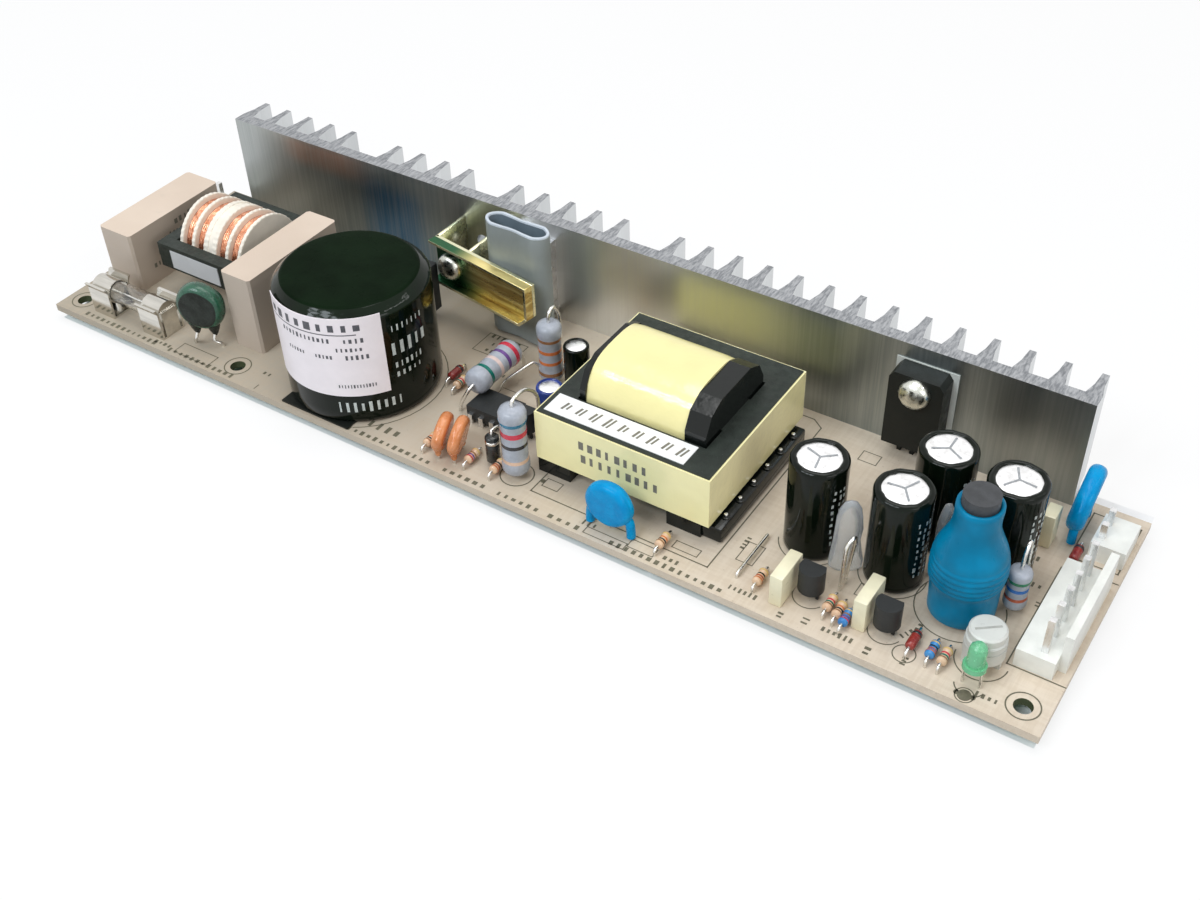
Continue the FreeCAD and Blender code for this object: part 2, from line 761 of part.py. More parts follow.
group("power_resistors", resistor_bodies)
group("power_resistor_leads", resistor_leads)

small_leads = []


def axial(x, y, z, radius, length, reach):
    """A small part lying along Y on its two bent leads."""
    start = y - length / 2
    body = round_bar(x, start, z, radius, length, ALONG_Y)
    wire = block(x - 0.25, start - reach, z - 0.25, 0.5, length + reach * 2, 0.5)
    near = leg(x, start - reach + 0.25, z, 0.5)
    far_leg = leg(x, start + length + reach - 0.25, z, 0.5)
    small_leads.append(fused([wire, near, far_leg]))
    return cut(body, wire)


resistor_row = (
    (99.8, 5.6), (109.4, 5.9), (115.2, 6), (93.9, 22.6), (151.6, 5.3), (110.8, 40.6),
    (board_length - 51.7, 6.4), (board_length - 39, 7.2), (board_length - 37, 6.6),
    (board_length - 35.3, 5.6), (board_length - 20.5, 6.6), (board_length - 18.3, 6.3),
)
group("small_resistors", [axial(x, y, 1.5, 0.85, 3.4, 1.4) for x, y in resistor_row])
diode_row = ((91.2, 24.6), (board_length - 23.9, 6.9), (board_length - 8.4, 39.6))
diodes = [axial(x, y, 1.5, 0.9, 3.8, 1.6) for x, y in diode_row]
post = round_bar(113, 7.8, 0.6, 1.35, 6)
post_stem = leg(113, 7.8, 8, 0.6)
post_top = block(112.7, 7.5, 7.4, 0.6, 3.4, 0.6)
post_drop = leg(113, 10.6, 8, 0.6)
small_leads.append(fused([post_stem, post_top, post_drop]))
diodes.append(cut(post, post_stem))
group("small_diodes", diodes)

disc_pair = []
disc_lean = Rotation(Vector(0, 0, 1), Vector(0.92, 0.3, -0.25))
for x, y, z in ((103.2, 5.4, 5), (106.6, 5.9, 5.2)):
    plate = round_bar(x - 1.1, y - 0.4, z + 0.3, 3.9, 2.4, disc_lean)
    plate_legs = [leg(x + 0.2, y - 2.2, z - 1, 0.7), leg(x - 1, y + 2, z - 1, 0.7)]
    disc_pair.append(fused([plate] + plate_legs))
group("orange_disc_capacitors", disc_pair)

blue_pair = []
near_disc = round_bar(141.4, 2.6, 6, 4.6, 3, ALONG_Y)
near_legs = [leg(137.2, 4.1, 5, 1), leg(145.8, 4.1, 5, 1)]
near_arm = block(137, 3.6, 4.2, 9, 1, 1)
blue_pair.append(fused([near_disc, near_arm] + near_legs))
far_x = board_length - 12.1
far_disc = round_bar(far_x, 47, 7, 6, 3.4, ALONG_X)
far_legs = [leg(far_x + 1.7, 43, 6, 1), leg(far_x + 1.7, 51, 6, 1)]
blue_pair.append(fused([far_disc] + far_legs))
group("blue_disc_capacitors", blue_pair)

small_cans = []
for x, y in ((117, 21.2), (114.2, 34.4)):
    small_cans.append(round_bar(x, y, 0, 2.6, 11))
    joint(x - 1, y)
    joint(x + 1, y)
group("small_electrolytics", small_cans)

transistor_plan = ((board_length - 43.1, 8.2), (board_length - 29, 7.6), (113.6, 17.2))
small_transistors = []
for x, y in transistor_plan:
    dome = round_bar(x, y, 2, 2.3, 4.8)
    flat = block(x - 2.5, y + 1.2, 1.9, 5, 2, 5)
    feet = [leg(x + offset, y, 2.4, 0.5, fine_joint_radius) for offset in (-1.3, 0, 1.3)]
    small_transistors.append(fused([cut(dome, flat)] + feet))
group("small_transistors", small_transistors)

film_boxes = []
for x, y, length, width, height in (
    (board_length - 48.4, 3, 2.4, 7.5, 6.6), (board_length - 34.25, 5.2, 2.4, 7.5, 6.6),
    (board_length - 15.4, 39.6, 2.3, 3.9, 7.2),
):
    film_boxes.append(block(x, y, 0, length, width, height))
    joint(x + length / 2, y + 0.8)
    joint(x + length / 2, y + width - 0.8)
group("film_capacitors", film_boxes)

# Transformer: flat ring core with a centre leg, taped round, its winding standing proud on top

core = new_body("core")
core_plan = sketch_on(core, "XY_Plane")
core_window = (core_width - core_rail * 2 - core_leg) / 2
rectangle(core_plan, 0, 0, core_length, core_width)
rectangle(core_plan, core_yoke, core_rail, core_length - core_yoke * 2, core_window)
rectangle(core_plan, core_yoke, core_rail + core_window + core_leg, core_length - core_yoke * 2, core_window)
pad(core, core_plan, core_height)
sub_part("transformer_core", core, core_x, core_y, core_z)

tape = new_body("tape")
band = sketch_on(tape, "XY_Plane")
rectangle(band, -tape_sheet, -tape_sheet, core_length + tape_sheet * 2, core_width + tape_sheet * 2)
rectangle(band, 0, 0, core_length, core_width)
pad(tape, band, core_height - 0.3)
sub_part("transformer_tape", tape, core_x, core_y, core_z + 0.1)

core_mid_y = core_y + core_width / 2
core_mid_z = core_z + core_height / 2
room = core_length - core_yoke * 2
winding_x = core_x + core_yoke + cheek_sheet + cheek_play
former = new_body("former")
cheek = sketch_on(former, "YZ_Plane")
cheek_half = winding_width / 2 + 0.05
cheek_top = winding_top - core_mid_z - 0.6
cheek_foot = core_mid_z - rail_height
cheek_lines = [
    (-cheek_half, -cheek_foot), (cheek_half, -cheek_foot), (cheek_half, cheek_top - 5),
    (cheek_half - 1.8, cheek_top - 1.6), (cheek_half - 5.2, cheek_top), (-(cheek_half - 5.2), cheek_top),
    (-(cheek_half - 1.8), cheek_top - 1.6), (-cheek_half, cheek_top - 5),
]
leg_box = (-(core_leg / 2), -(core_height / 2), core_leg, core_height)
outline(cheek, cheek_lines)
rectangle(cheek, *leg_box)
pad(former, cheek, cheek_sheet)
barrel = sketch_on(former, "YZ_Plane")
rectangle(barrel, -(core_leg / 2 + 0.9), -(core_height / 2 + 0.9), core_leg + 1.8, core_height + 1.8)
rectangle(barrel, *leg_box)
pad(former, barrel, room - cheek_play * 2)
far_cheek = sketch_on(former, "YZ_Plane")
far_cheek_x = cheek_sheet + winding_length
far_cheek.AttachmentOffset = FreeCAD.Placement(Vector(0, 0, far_cheek_x.number), UPRIGHT)
far_cheek.setExpression("AttachmentOffset.Base.z", far_cheek_x.text)
outline(far_cheek, cheek_lines)
rectangle(far_cheek, *leg_box)
pad(former, far_cheek, far_cheek_sheet)
for rail_x in (cheek_sheet - rail_width, far_cheek_x):
    rail = sketch_on(former, "XY_Plane")
    rail.AttachmentOffset = FreeCAD.Placement(Vector(0, 0, -number_of(core_mid_z)), UPRIGHT)
    rail.setExpression("AttachmentOffset.Base.z", (-core_mid_z).text)
    rectangle(rail, rail_x, -(core_width / 2 - 1), rail_width, core_width - 2)
    pad(former, rail, rail_height)
sub_part("transformer_bobbin", former, winding_x - cheek_sheet, core_mid_y, core_mid_z)

winding = new_body("winding")
turns = sketch_on(winding, "YZ_Plane")
wind_half = winding_width / 2
wind_top = winding_top - core_mid_z
wind_foot = core_height / 2 + 2.2
outline(turns, [
    (-wind_half, -wind_foot), (wind_half, -wind_foot), (wind_half, wind_top - 5.4),
    (wind_half - 0.8, wind_top - 3.2), (wind_half - 2.6, wind_top - 1.4), (wind_half - 5.4, wind_top - 0.3),
    (wind_half - 8, wind_top), (-(wind_half - 8), wind_top), (-(wind_half - 5.4), wind_top - 0.3),
    (-(wind_half - 2.6), wind_top - 1.4), (-(wind_half - 0.8), wind_top - 3.2), (-wind_half, wind_top - 5.4),
])
rectangle(turns, -(core_leg / 2 + 0.9), -(core_height / 2 + 0.9), core_leg + 1.8, core_height + 1.8)
pad(winding, turns, winding_length)
sub_part("transformer_winding", winding, winding_x, core_mid_y, core_mid_z)
strip = block(core_x + 1, core_y + 0.9, core_z + core_height, core_length - 6.6, core_rail - 1.4, label_sheet)
group("transformer_label", [strip])
transformer_pins = []
pin_rows = (winding_x - rail_width + 1.2, winding_x + winding_length + rail_width - 1.2)
for x in pin_rows:
    for i in range(6):
        y = core_mid_y + transformer_pin_pitch * (i - 2.5)
        transformer_pins.append(through_pin(x, y, 0, wire_side + 0.3))
group("transformer_pins", transformer_pins)

# Output rectifier on the heatsink face

back_face = sink_front - device_pad
tab = new_body("tab")
face = sketch_on(tab, "XZ_Plane")
outline(face, [
    (0, 0), (device_width, 0), (device_width, device_height - 1.2), (device_width - 0.9, device_height),
    (0.9, device_height), (0, device_height - 1.2),
])
circle(face, device_width / 2, device_height - 3.2, screw_radius + 0.2)
pad(tab, face, device_depth)
place(tab, device_x, back_face, device_z)
device_legs = [leg(device_x + device_width / 2 + offset, back_face - 1.4, device_z, 0.8)
               for offset in (-2.54, 0, 2.54)]
group("output_rectifier", [fused([tab] + device_legs)])
pad_sheet = block(device_x - 0.6, back_face, device_z - 1, device_width + 1.6, device_pad, device_height + 1.2)
pad_hole = round_bar(device_screw_x, back_face, device_screw_z, screw_radius + 0.2, device_pad, ALONG_Y)
group("rectifier_pad", [cut(pad_sheet, pad_hole)])
group("rectifier_screw", [pan_screw(device_screw_x, back_face - device_depth, device_screw_z,
                                    device_depth + device_pad + sink_base - 0.3)])

# Output capacitors and the rod choke

can_places = (
    (board_length - 48.7, 20), (board_length - 33.5, 20.2), (board_length - 31.3, 33.2),
    (board_length - 18.6, 31.7),
)
cans = []
lids = []
for x, y in can_places:
    can = turned("can", [
        (0, 0), (can_radius - 0.4, 0), (can_radius, 0.5), (can_radius, can_height - 0.7),
        (can_radius - 0.5, can_height), (can_top_radius, can_height),
        (can_top_radius, can_height - 0.5), (0, can_height - 0.5),
    ])
    place(can, x, y, 0)
    cans.append(can)
    lids.append(round_bar(x, y, can_height - 0.5, can_top_radius, 0.25))
    joint(x - 2.5, y)
    joint(x + 2.5, y)
group("output_capacitors", cans)
group("output_capacitor_tops", lids)

coil_outer = rod_radius + 2
rod = round_bar(rod_x, rod_y, 1.2, rod_radius, rod_height - 1.2)
group("rod_core", [rod])
rod_coil = round_bar(rod_x, rod_y, 2.6, coil_outer, 12.8)
rod_hole = round_bar(rod_x, rod_y, 2.6, rod_radius, 12.8)
rod_feet = [leg(rod_x - 4, rod_y, 3, 1), leg(rod_x + 4, rod_y, 3, 1)]
group("rod_winding", [fused([cut(rod_coil, rod_hole)] + rod_feet)])
shrink = turned("shrink", [
    (coil_outer, 2.6), (coil_outer + 0.4, 2.8), (coil_outer + 1, 5), (coil_outer + 1.4, 9),
    (coil_outer + 1.4, 12), (coil_outer + 0.2, 16), (rod_radius + 0.9, 19.4), (rod_radius + 0.75, 21),
    (rod_radius + 0.9, rod_height - 2), (rod_radius, rod_height - 2), (rod_radius, 18.5), (coil_outer, 15.4),
])
sub_part("rod_sleeve", shrink, rod_x, rod_y, 0)

# Two lumps of staking compound between the capacitors

lumps = []
for x, y, reach_x, reach_y, top in (
    (board_length - 41, 18.6, 2.1, 4.6, 16), (board_length - 25.8, 27.4, 2.6, 2.7, 17),
):
    lump = doc.addObject("Part::Ellipsoid", "lump")
    lump.Radius1 = top / 2
    lump.Radius2 = reach_x
    lump.Radius3 = reach_y
    place(lump, x, y, top / 2)
    lumps.append(lump)
group("staking_lumps", lumps)

# Wire links on the board

links = []
for x, near_y, far_y, height in ((board_length - 55.7, 5.4, 16.8, 1.2), (board_length - 39.5, 11.9, 13.9, 9)):
    level = block(x - 0.3, near_y - 0.3, height - 0.6, 0.6, far_y - near_y + 0.6, 0.6)
    links.append(fused([level, leg(x, near_y, height, 0.6), leg(x, far_y, height, 0.6)]))
group("wire_links", links)
group("small_part_leads", small_leads)

# Trimmer: a round base on the board and the knob that turns in it

hole_radius = knob_shaft_radius + knob_clearance
trimmer = turned("trimmer", [
    (hole_radius, trimmer_foot), (knob_radius + 0.1, trimmer_foot), (knob_radius + 0.1, trimmer_height),
    (hole_radius, trimmer_height),
])
place(trimmer, trimmer_x, trimmer_y, 0)
trimmer_feet = [leg(trimmer_x - 2.4, trimmer_y - 1.4, trimmer_foot + 0.4, 1),
                leg(trimmer_x - 2.4, trimmer_y + 1.4, trimmer_foot + 0.4, 1),
                leg(trimmer_x + 2.6, trimmer_y, trimmer_foot + 0.4, 1)]
group("trimmer_base", [fused([trimmer] + trimmer_feet)])
knob = turned("knob", [
    (0, -1.8), (knob_shaft_radius, -1.8), (knob_shaft_radius, 0.05),
    (knob_radius, 0.05), (knob_radius, knob_height * 0.42), (knob_radius - 0.25, knob_height * 0.5),
    (knob_radius - 0.25, knob_height - 0.3), (knob_radius - 0.6, knob_height), (0, knob_height),
])
sub_part("trimmer_knob", knob, trimmer_x, trimmer_y, trimmer_height)

# Indicator lamp leaning back a little on its two leads

lamp = turned("lamp", [
    (0, 0), (led_radius + 0.45, 0), (led_radius + 0.45, 0.9), (led_radius, 0.9),
    (led_radius, 3.7), (led_radius * 0.87, 4.5), (led_radius * 0.5, 5.1), (0, 5.3),
])
lamp_x = board_length - 12.9
lamp_y = 4.3
lamp_z = 4
sub_part("indicator_lamp", lamp, lamp_x, lamp_y, lamp_z, Rotation(Vector(1, 0, 0), -6))
lamp_leads = [leg(lamp_x - 1.27, lamp_y, lamp_z - 0.1, 0.5), leg(lamp_x + 1.27, lamp_y, lamp_z - 0.1, 0.5)]
group("indicator_leads", lamp_leads)

# Output connectors at the right end: six ways with a locking wall, then two ways

header_x = board_length - header_end_gap
header_y = 11.7
row_length = header_pitch * 6
housing = fused([
    block(header_x, header_y, 0, header_depth, row_length, header_base_height),
    block(header_x + header_depth, header_y + 2.5, 0, header_wall, row_length - 2, header_wall_height),
    block(header_x + header_depth - 0.5, header_y + 2.5, 0, 1, row_length - 2.6, header_base_height),
])
pin_x = header_x + header_depth - 2.4
output_pins = [through_pin(pin_x, header_y + header_pitch * (i + 0.5), header_pin_top) for i in range(6)]
housing = cut(housing, together(list(output_pins)))
second_y = header_y + row_length + 5.6
second_base = block(header_x + 2, second_y, 0, header_depth - 0.4, header_pitch * 2.1, header_base_height)
second_pins = [through_pin(pin_x - 0.8, second_y + header_pitch * (i + 0.55), header_pin_top - 4) for i in range(2)]
second = cut(second_base, together(list(second_pins)))
group("output_connectors", [housing, second])
group("output_connector_pins", output_pins + second_pins)

# Board with its mounting holes and the holes of the pins that pass through it, and the joints below

blank = new_body("blank")
board_plan = sketch_on(blank, "XY_Plane")
rectangle(board_plan, 0, 0, board_length, board_width)
circle(board_plan, end_hole_inset, edge_hole_inset, mount_hole_radius)
circle(board_plan, board_length - end_hole_inset, edge_hole_inset, mount_hole_radius)
circle(board_plan, middle_hole_from_end, edge_hole_inset, mount_hole_radius)
pad(blank, board_plan, board_thickness)
place(blank, 0, 0, -board_thickness)
group("circuit_board", [cut(blank, together(board_pins))])

joints = []
for x, y, radius in lead_spots:
    lump = doc.addObject("Part::Prism", "joint")
    lump.Polygon = 6
    tie(lump, "Circumradius", radius)
    tie(lump, "Height", tip_depth)
    place(lump, x, y, -board_thickness - tip_depth)
    joints.append(lump)
group("solder_joints", joints)

doc.recompute()

faults = []
for thing in doc.Objects:
    if "Invalid" in thing.State or "Error" in thing.State:
        faults.append("%s %s" % (thing.Label, thing.State))
for label, thing in nodes.items():
    if thing.Shape.isNull() or not thing.Shape.isValid() or not thing.Shape.Solids:
        faults.append("%s shape" % label)
if faults:
    raise RuntimeError("; ".join(faults))
for label, thing in nodes.items():
    thing.Shape.exportStep("parts/%s.step" % label)
box = FreeCAD.BoundBox()
for thing in nodes.values():
    box.add(thing.Shape.BoundBox)
print("sub-parts", len(nodes), "joints", len(lead_spots), "size", box)
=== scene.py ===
import math
import random

import bmesh
import bpy
from mathutils import Matrix, Vector, noise


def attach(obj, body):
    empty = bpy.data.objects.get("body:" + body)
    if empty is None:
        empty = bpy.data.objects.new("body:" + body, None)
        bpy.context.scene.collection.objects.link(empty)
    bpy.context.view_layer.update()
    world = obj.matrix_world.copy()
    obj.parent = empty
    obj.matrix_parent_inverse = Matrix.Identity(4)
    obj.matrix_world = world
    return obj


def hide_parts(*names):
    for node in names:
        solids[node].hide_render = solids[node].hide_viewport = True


# Looks of an open frame power supply. Lengths are in millimetres and turned into metres where a
# mesh is made. Positions on the board count from its near left top corner, as a layout drawing does.

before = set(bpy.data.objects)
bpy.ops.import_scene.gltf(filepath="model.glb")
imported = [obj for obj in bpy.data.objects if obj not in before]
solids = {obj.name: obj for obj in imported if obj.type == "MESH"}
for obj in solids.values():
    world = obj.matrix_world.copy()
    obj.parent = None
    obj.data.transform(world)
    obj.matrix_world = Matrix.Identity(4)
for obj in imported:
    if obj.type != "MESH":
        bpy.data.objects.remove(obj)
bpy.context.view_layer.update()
MM = 0.001
ORIGIN = Vector((-111.0, -30.8, 3.6))
BOARD = 222.0
UP = (0, 0, 1)
ACROSS = (0, 1, 0)
LEAD_END = -1.4
chance = random.Random(7)
mount_holes = ((4.3, 4.5), (BOARD - 4.3, 4.5), (50.1, 4.5))
big_can_place = (75.1, 15.9)
can_places = ((BOARD - 48.7, 20), (BOARD - 33.5, 20.2), (BOARD - 31.3, 33.2), (BOARD - 18.6, 31.7))
rod_place = (BOARD - 20.6, 18.6)
trimmer_place = (BOARD - 13.3, 9.9)
lamp_place = (BOARD - 12.9, 4.3)


def spot(x, y, z=0.0):
    """A place on the board in millimetres, as a point of the frame in metres."""
    return (Vector((x, y, z)) + ORIGIN) * MM


# Shader values and finishes

class Value:
    """A shader socket that can be added, taken away, multiplied and compared like a number."""

    def __init__(self, graph, socket):
        self.graph = graph
        self.socket = socket

    def math(self, operation, *others):
        return self.graph.node("Math", {"operation": operation}, (self,) + others)

    def __add__(self, other):
        return self.math("ADD", other)

    def __mul__(self, other):
        return self.math("MULTIPLY", other)

    def __sub__(self, other):
        return self.math("SUBTRACT", other)

    def __rsub__(self, other):
        return self.graph.node("Math", {"operation": "SUBTRACT"}, (other, self))

    def __abs__(self):
        return self.math("ABSOLUTE")

    def __gt__(self, other):
        return self.math("GREATER_THAN", other)

    def __lt__(self, other):
        return self.math("LESS_THAN", other)

    __radd__ = __add__
    __rmul__ = __mul__

    def largest(self, other):
        return self.math("MAXIMUM", other)

    def soft(self, low, high):
        """0 at low, 1 at high, smooth between."""
        sockets = (self, low, high, 0.0, 1.0)
        return self.graph.node("MapRange", {"interpolation_type": "SMOOTHSTEP"}, sockets)


class Graph:
    """The node tree of a material or of the world."""

    def __init__(self, owner):
        owner.use_nodes = True
        self.tree = owner.node_tree
        self.tree.nodes.clear()

    def node(self, kind, settings, sockets, output=0):
        made = self.tree.nodes.new("ShaderNode" + kind)
        for key, value in settings.items():
            setattr(made, key, value)
        pairs = sockets.items() if isinstance(sockets, dict) else enumerate(sockets)
        for key, value in pairs:
            if isinstance(value, Value):
                self.tree.links.new(value.socket, made.inputs[key])
            else:
                made.inputs[key].default_value = value
        return Value(self, made.outputs[output])

    def blend(self, share, first, second):
        """The first colour where share is 0, the second where it is 1."""
        made = self.node("Mix", {"data_type": "RGBA"}, {0: share}, 2)
        for index, colour in ((6, first), (7, second)):
            if isinstance(colour, Value):
                self.tree.links.new(colour.socket, made.socket.node.inputs[index])
            else:
                made.socket.node.inputs[index].default_value = (*colour, 1.0)
        return made

    def background_rays(self):
        """1 for the rays that look at the stage, straight, mirrored or through glass."""
        seen, glossy, through = [
            self.node("LightPath", {}, (), "Is " + kind + " Ray")
            for kind in ("Camera", "Glossy", "Transmission")
        ]
        return seen.largest(glossy).largest(through)

    def show(self, shader, kind="OutputMaterial"):
        output = self.tree.nodes.new("ShaderNode" + kind)
        self.tree.links.new(shader.socket, output.inputs[0])


class Finish(Graph):
    """One material: a principled shader and the nodes that vary it."""

    def __init__(self, name, roughness=0.5, metallic=0.0, **fixed):
        self.material = bpy.data.materials.new(name)
        super().__init__(self.material)
        self.shader = self.tree.nodes.new("ShaderNodeBsdfPrincipled")
        self.show(Value(self, self.shader.outputs[0]))
        self.shader.inputs["Roughness"].default_value = roughness
        self.shader.inputs["Metallic"].default_value = metallic
        for key, value in fixed.items():
            self.shader.inputs[key.replace("_", " ")].default_value = value
        self.place = self.node("TexCoord", {}, (), "Object")
        self.x, self.y, self.z = [part * 1000 for part in self.parts(self.place)]
        self.bump_from = None

    def parts(self, vector):
        """The three parts of a vector socket."""
        outputs = self.node("SeparateXYZ", {}, (vector,)).socket.node.outputs
        return [Value(self, output) for output in outputs]

    def spread(self, per_mm, stretch):
        """Places scaled so that a pattern has about per_mm features in a millimetre."""
        scale = [per_mm * 1000 / s for s in stretch]
        return self.node("Mapping", {}, {"Vector": self.place, "Scale": scale})

    def noise(self, per_mm, detail=3.0, stretch=(1, 1, 1), roughness=0.55):
        """Noise of 0 to 1 with about per_mm features in a millimetre, drawn out by stretch."""
        spread = self.spread(per_mm, stretch)
        sockets = {"Vector": spread, "Scale": 1.0, "Detail": detail, "Roughness": roughness}
        return self.node("TexNoise", {}, sockets)

    def cells(self, per_mm, stretch=(1, 1, 1)):
        """Distance to the middle of the nearest cell."""
        return self.node("TexVoronoi", {}, {"Vector": self.spread(per_mm, stretch), "Scale": 1.0})

    def facing(self, axis):
        """How far the surface faces along an axis, -1 to 1."""
        return self.parts(self.node("TexCoord", {}, (), "Normal"))["XYZ".index(axis)]

    def feed(self, name, value):
        if isinstance(value, Value):
            self.tree.links.new(value.socket, self.shader.inputs[name])
        elif name == "Base Color":
            self.shader.inputs[name].default_value = (*value, 1.0)
        else:
            self.shader.inputs[name].default_value = value

    def bump(self, height, depth_mm, strength=1.0):
        sockets = {"Strength": strength, "Distance": depth_mm * MM, "Height": height}
        if self.bump_from is not None:
            sockets["Normal"] = self.bump_from
        self.bump_from = self.node("Bump", {}, sockets)
        self.feed("Normal", self.bump_from)

    def mottle(self, colour, other, per_mm, detail=3.0, stretch=(1, 1, 1)):
        """Base colour that drifts between two shades."""
        grain = self.noise(per_mm, detail, stretch).soft(0.3, 0.7)
        tone = self.blend(grain, colour, other)
        self.feed("Base Color", tone)
        return tone

    def rough_by(self, low, high, per_mm, stretch=(1, 1, 1)):
        self.feed("Roughness", self.noise(per_mm, 4.0, stretch).soft(0.25, 0.75) * (high - low) + low)


def shade(colour, factor):
    return tuple(min(1.0, c * factor) for c in colour)


def moulded(name, colour, roughness=0.42, grain=6.0, depth=0.012, coat=0.0, shine=0.5):
    """Moulded plastic: faint flow marks, fine grain and scuffs."""
    finish = Finish(name, roughness, Coat_Weight=coat, Specular_IOR_Level=shine)
    finish.mottle(shade(colour, 0.94), shade(colour, 1.05), 0.25)
    finish.rough_by(roughness - 0.08, roughness + 0.1, 0.6)
    finish.bump(finish.noise(grain, 2.0), depth)
    return finish


def lacquered(name, colour, deep, pits=0.03, coat=0.25, shine=0.35):
    """Dipped lacquer: glossy, slightly uneven, darker where it is thick."""
    finish = Finish(name, 0.22, Coat_Weight=coat, Coat_Roughness=0.08, Specular_IOR_Level=shine)
    finish.mottle(colour, deep, 0.45)
    finish.rough_by(0.16, 0.34, 1.2)
    finish.bump(finish.noise(0.7, 3.0), pits * 4)
    finish.bump(finish.noise(5.0, 2.0), pits)
    return finish


def drawn_metal(name, colour, roughness=0.25, stretch=(1, 1, 1), depth=0.006):
    finish = Finish(name, roughness, 1.0)
    finish.mottle(shade(colour, 0.86), shade(colour, 1.06), 0.7, 4.0, stretch)
    finish.rough_by(roughness * 0.7, roughness * 1.6, 1.1, stretch)
    finish.bump(finish.noise(3.0, 3.0, stretch), depth)
    return finish


def board_finish():
    finish = Finish("board_laminate", 0.55)
    tan = finish.mottle((0.67, 0.565, 0.44), (0.74, 0.635, 0.51), 0.05, 4.0)
    # painted shade: the laminate darkens towards the board's left end
    left_shade = 1 - finish.x.soft(-125, 105)
    tan = finish.blend(left_shade * 0.95, tan, (0.39, 0.34, 0.265))
    fibre = finish.noise(1.6, 3.0, (1, 14, 1)) * 0.5 + finish.noise(1.2, 3.0, (10, 1, 1)) * 0.5
    tan = finish.blend(fibre.soft(0.42, 0.62) * 0.32, tan, (0.53, 0.42, 0.30))
    specks = (finish.cells(0.55) < 0.07) * 0.35
    tan = finish.blend(specks, tan, (0.34, 0.26, 0.18))
    # under the board: green solder mask over broad copper areas with narrow gaps
    lanes = finish.cells(0.11, (2.4, 1, 1))
    traces = finish.blend((lanes > 0.42) * 0.75, (0.035, 0.16, 0.07), (0.10, 0.27, 0.12))
    below = finish.facing("Z") < -0.5
    bored = 0
    for hole_x, hole_y in mount_holes:
        across = finish.x - (hole_x + ORIGIN.x)
        along = finish.y - (hole_y + ORIGIN.y)
        bored = (across * across + along * along < 3.6) + bored
    # the mounting hole walls: dark olive, their own green deepened by painted shade
    hole_wall_shade = bored * (abs(finish.facing("Z")) < 0.5)
    faces = finish.blend(below, tan, traces)
    finish.feed("Base Color", finish.blend(hole_wall_shade, faces, (0.06, 0.075, 0.03)))
    finish.feed("Roughness", below * -0.27 + 0.56 + finish.noise(0.3) * 0.08)
    finish.bump(fibre, 0.02)
    finish.bump(below * (lanes > 0.42), 0.05)
    return finish


def sink_finish():
    finish = Finish("heatsink_aluminium", 0.3, 1.0)
    die_lines = finish.noise(2.2, 4.0, (1, 1, 60))
    broad = finish.noise(0.035, 3.0, (1, 1, 2.5))
    sawn = finish.facing("Z") > 0.8
    flat_face = finish.facing("Y") < -0.7
    bare = finish.blend(broad.soft(0.3, 0.7), (0.55, 0.57, 0.58), (0.66, 0.68, 0.69))
    # the front face: a darker grey base with painted reflections laid over it
    front_tone_and_reflections = finish.blend(broad.soft(0.3, 0.7), (0.26, 0.295, 0.295), (0.37, 0.405, 0.40))
    # painted reflection: the front face lighter at its left end
    left_end_reflection = (1 - finish.x.soft(-88, -74)) * 0.7
    front_tone_and_reflections = finish.blend(left_end_reflection, front_tone_and_reflections, (0.40, 0.425, 0.42))
    # painted reflection: a bright band across the middle of the front face
    middle = finish.x.soft(-40, -22) * (1 - finish.x.soft(22, 50))
    front_tone_and_reflections = finish.blend(middle * 0.85, front_tone_and_reflections, (0.90, 0.92, 0.92))
    # painted reflection: a yellow patch high in the middle of the front face
    yellow_reflection = finish.x.soft(-14, 0) * (1 - finish.x.soft(24, 46)) * finish.z.soft(8, 20)
    front_tone_and_reflections = finish.blend(yellow_reflection * 0.45, front_tone_and_reflections, (0.64, 0.64, 0.34))
    # painted reflection: a cool blue-grey patch towards the left of the front face
    cool_reflection = finish.x.soft(-78, -62) * (1 - finish.x.soft(-46, -38))
    front_tone_and_reflections = finish.blend(cool_reflection * 0.45, front_tone_and_reflections, (0.18, 0.28, 0.35))
    # painted reflection: a deep blue patch low on the left of the front face
    blue = finish.x.soft(-68, -60) * (1 - finish.x.soft(-54, -45)) * (1 - finish.z.soft(19, 25))
    front_tone_and_reflections = finish.blend(blue * 0.75, front_tone_and_reflections, (0.03, 0.19, 0.42))
    # painted reflection: a ruddy patch high at the left end of the front face
    ruddy_reflection = finish.x.soft(-90, -82) * (1 - finish.x.soft(-72, -60))
    ruddy_reflection = ruddy_reflection * finish.z.soft(19, 23) * (1 - finish.z.soft(25, 28))
    front_tone_and_reflections = finish.blend(ruddy_reflection * 0.55, front_tone_and_reflections, (0.66, 0.40, 0.29))
    grey = finish.blend(flat_face, bare, front_tone_and_reflections)
    grey = finish.blend(die_lines.soft(0.35, 0.65) * 0.2, grey, (0.66, 0.66, 0.66))
    saw_marks = finish.noise(2.2, 5.0, (0.8, 3.5, 1))
    cut_face = finish.blend(saw_marks.soft(0.3, 0.7), (0.21, 0.22, 0.235), (0.43, 0.44, 0.455))
    finish.feed("Base Color", finish.blend(sawn, grey, cut_face))
    finish.feed("Roughness", sawn * 0.16 + 0.27 + finish.noise(0.09, 3.0) * 0.12)
    finish.bump(die_lines, 0.012)
    finish.bump(sawn * saw_marks, 0.12)
    return finish


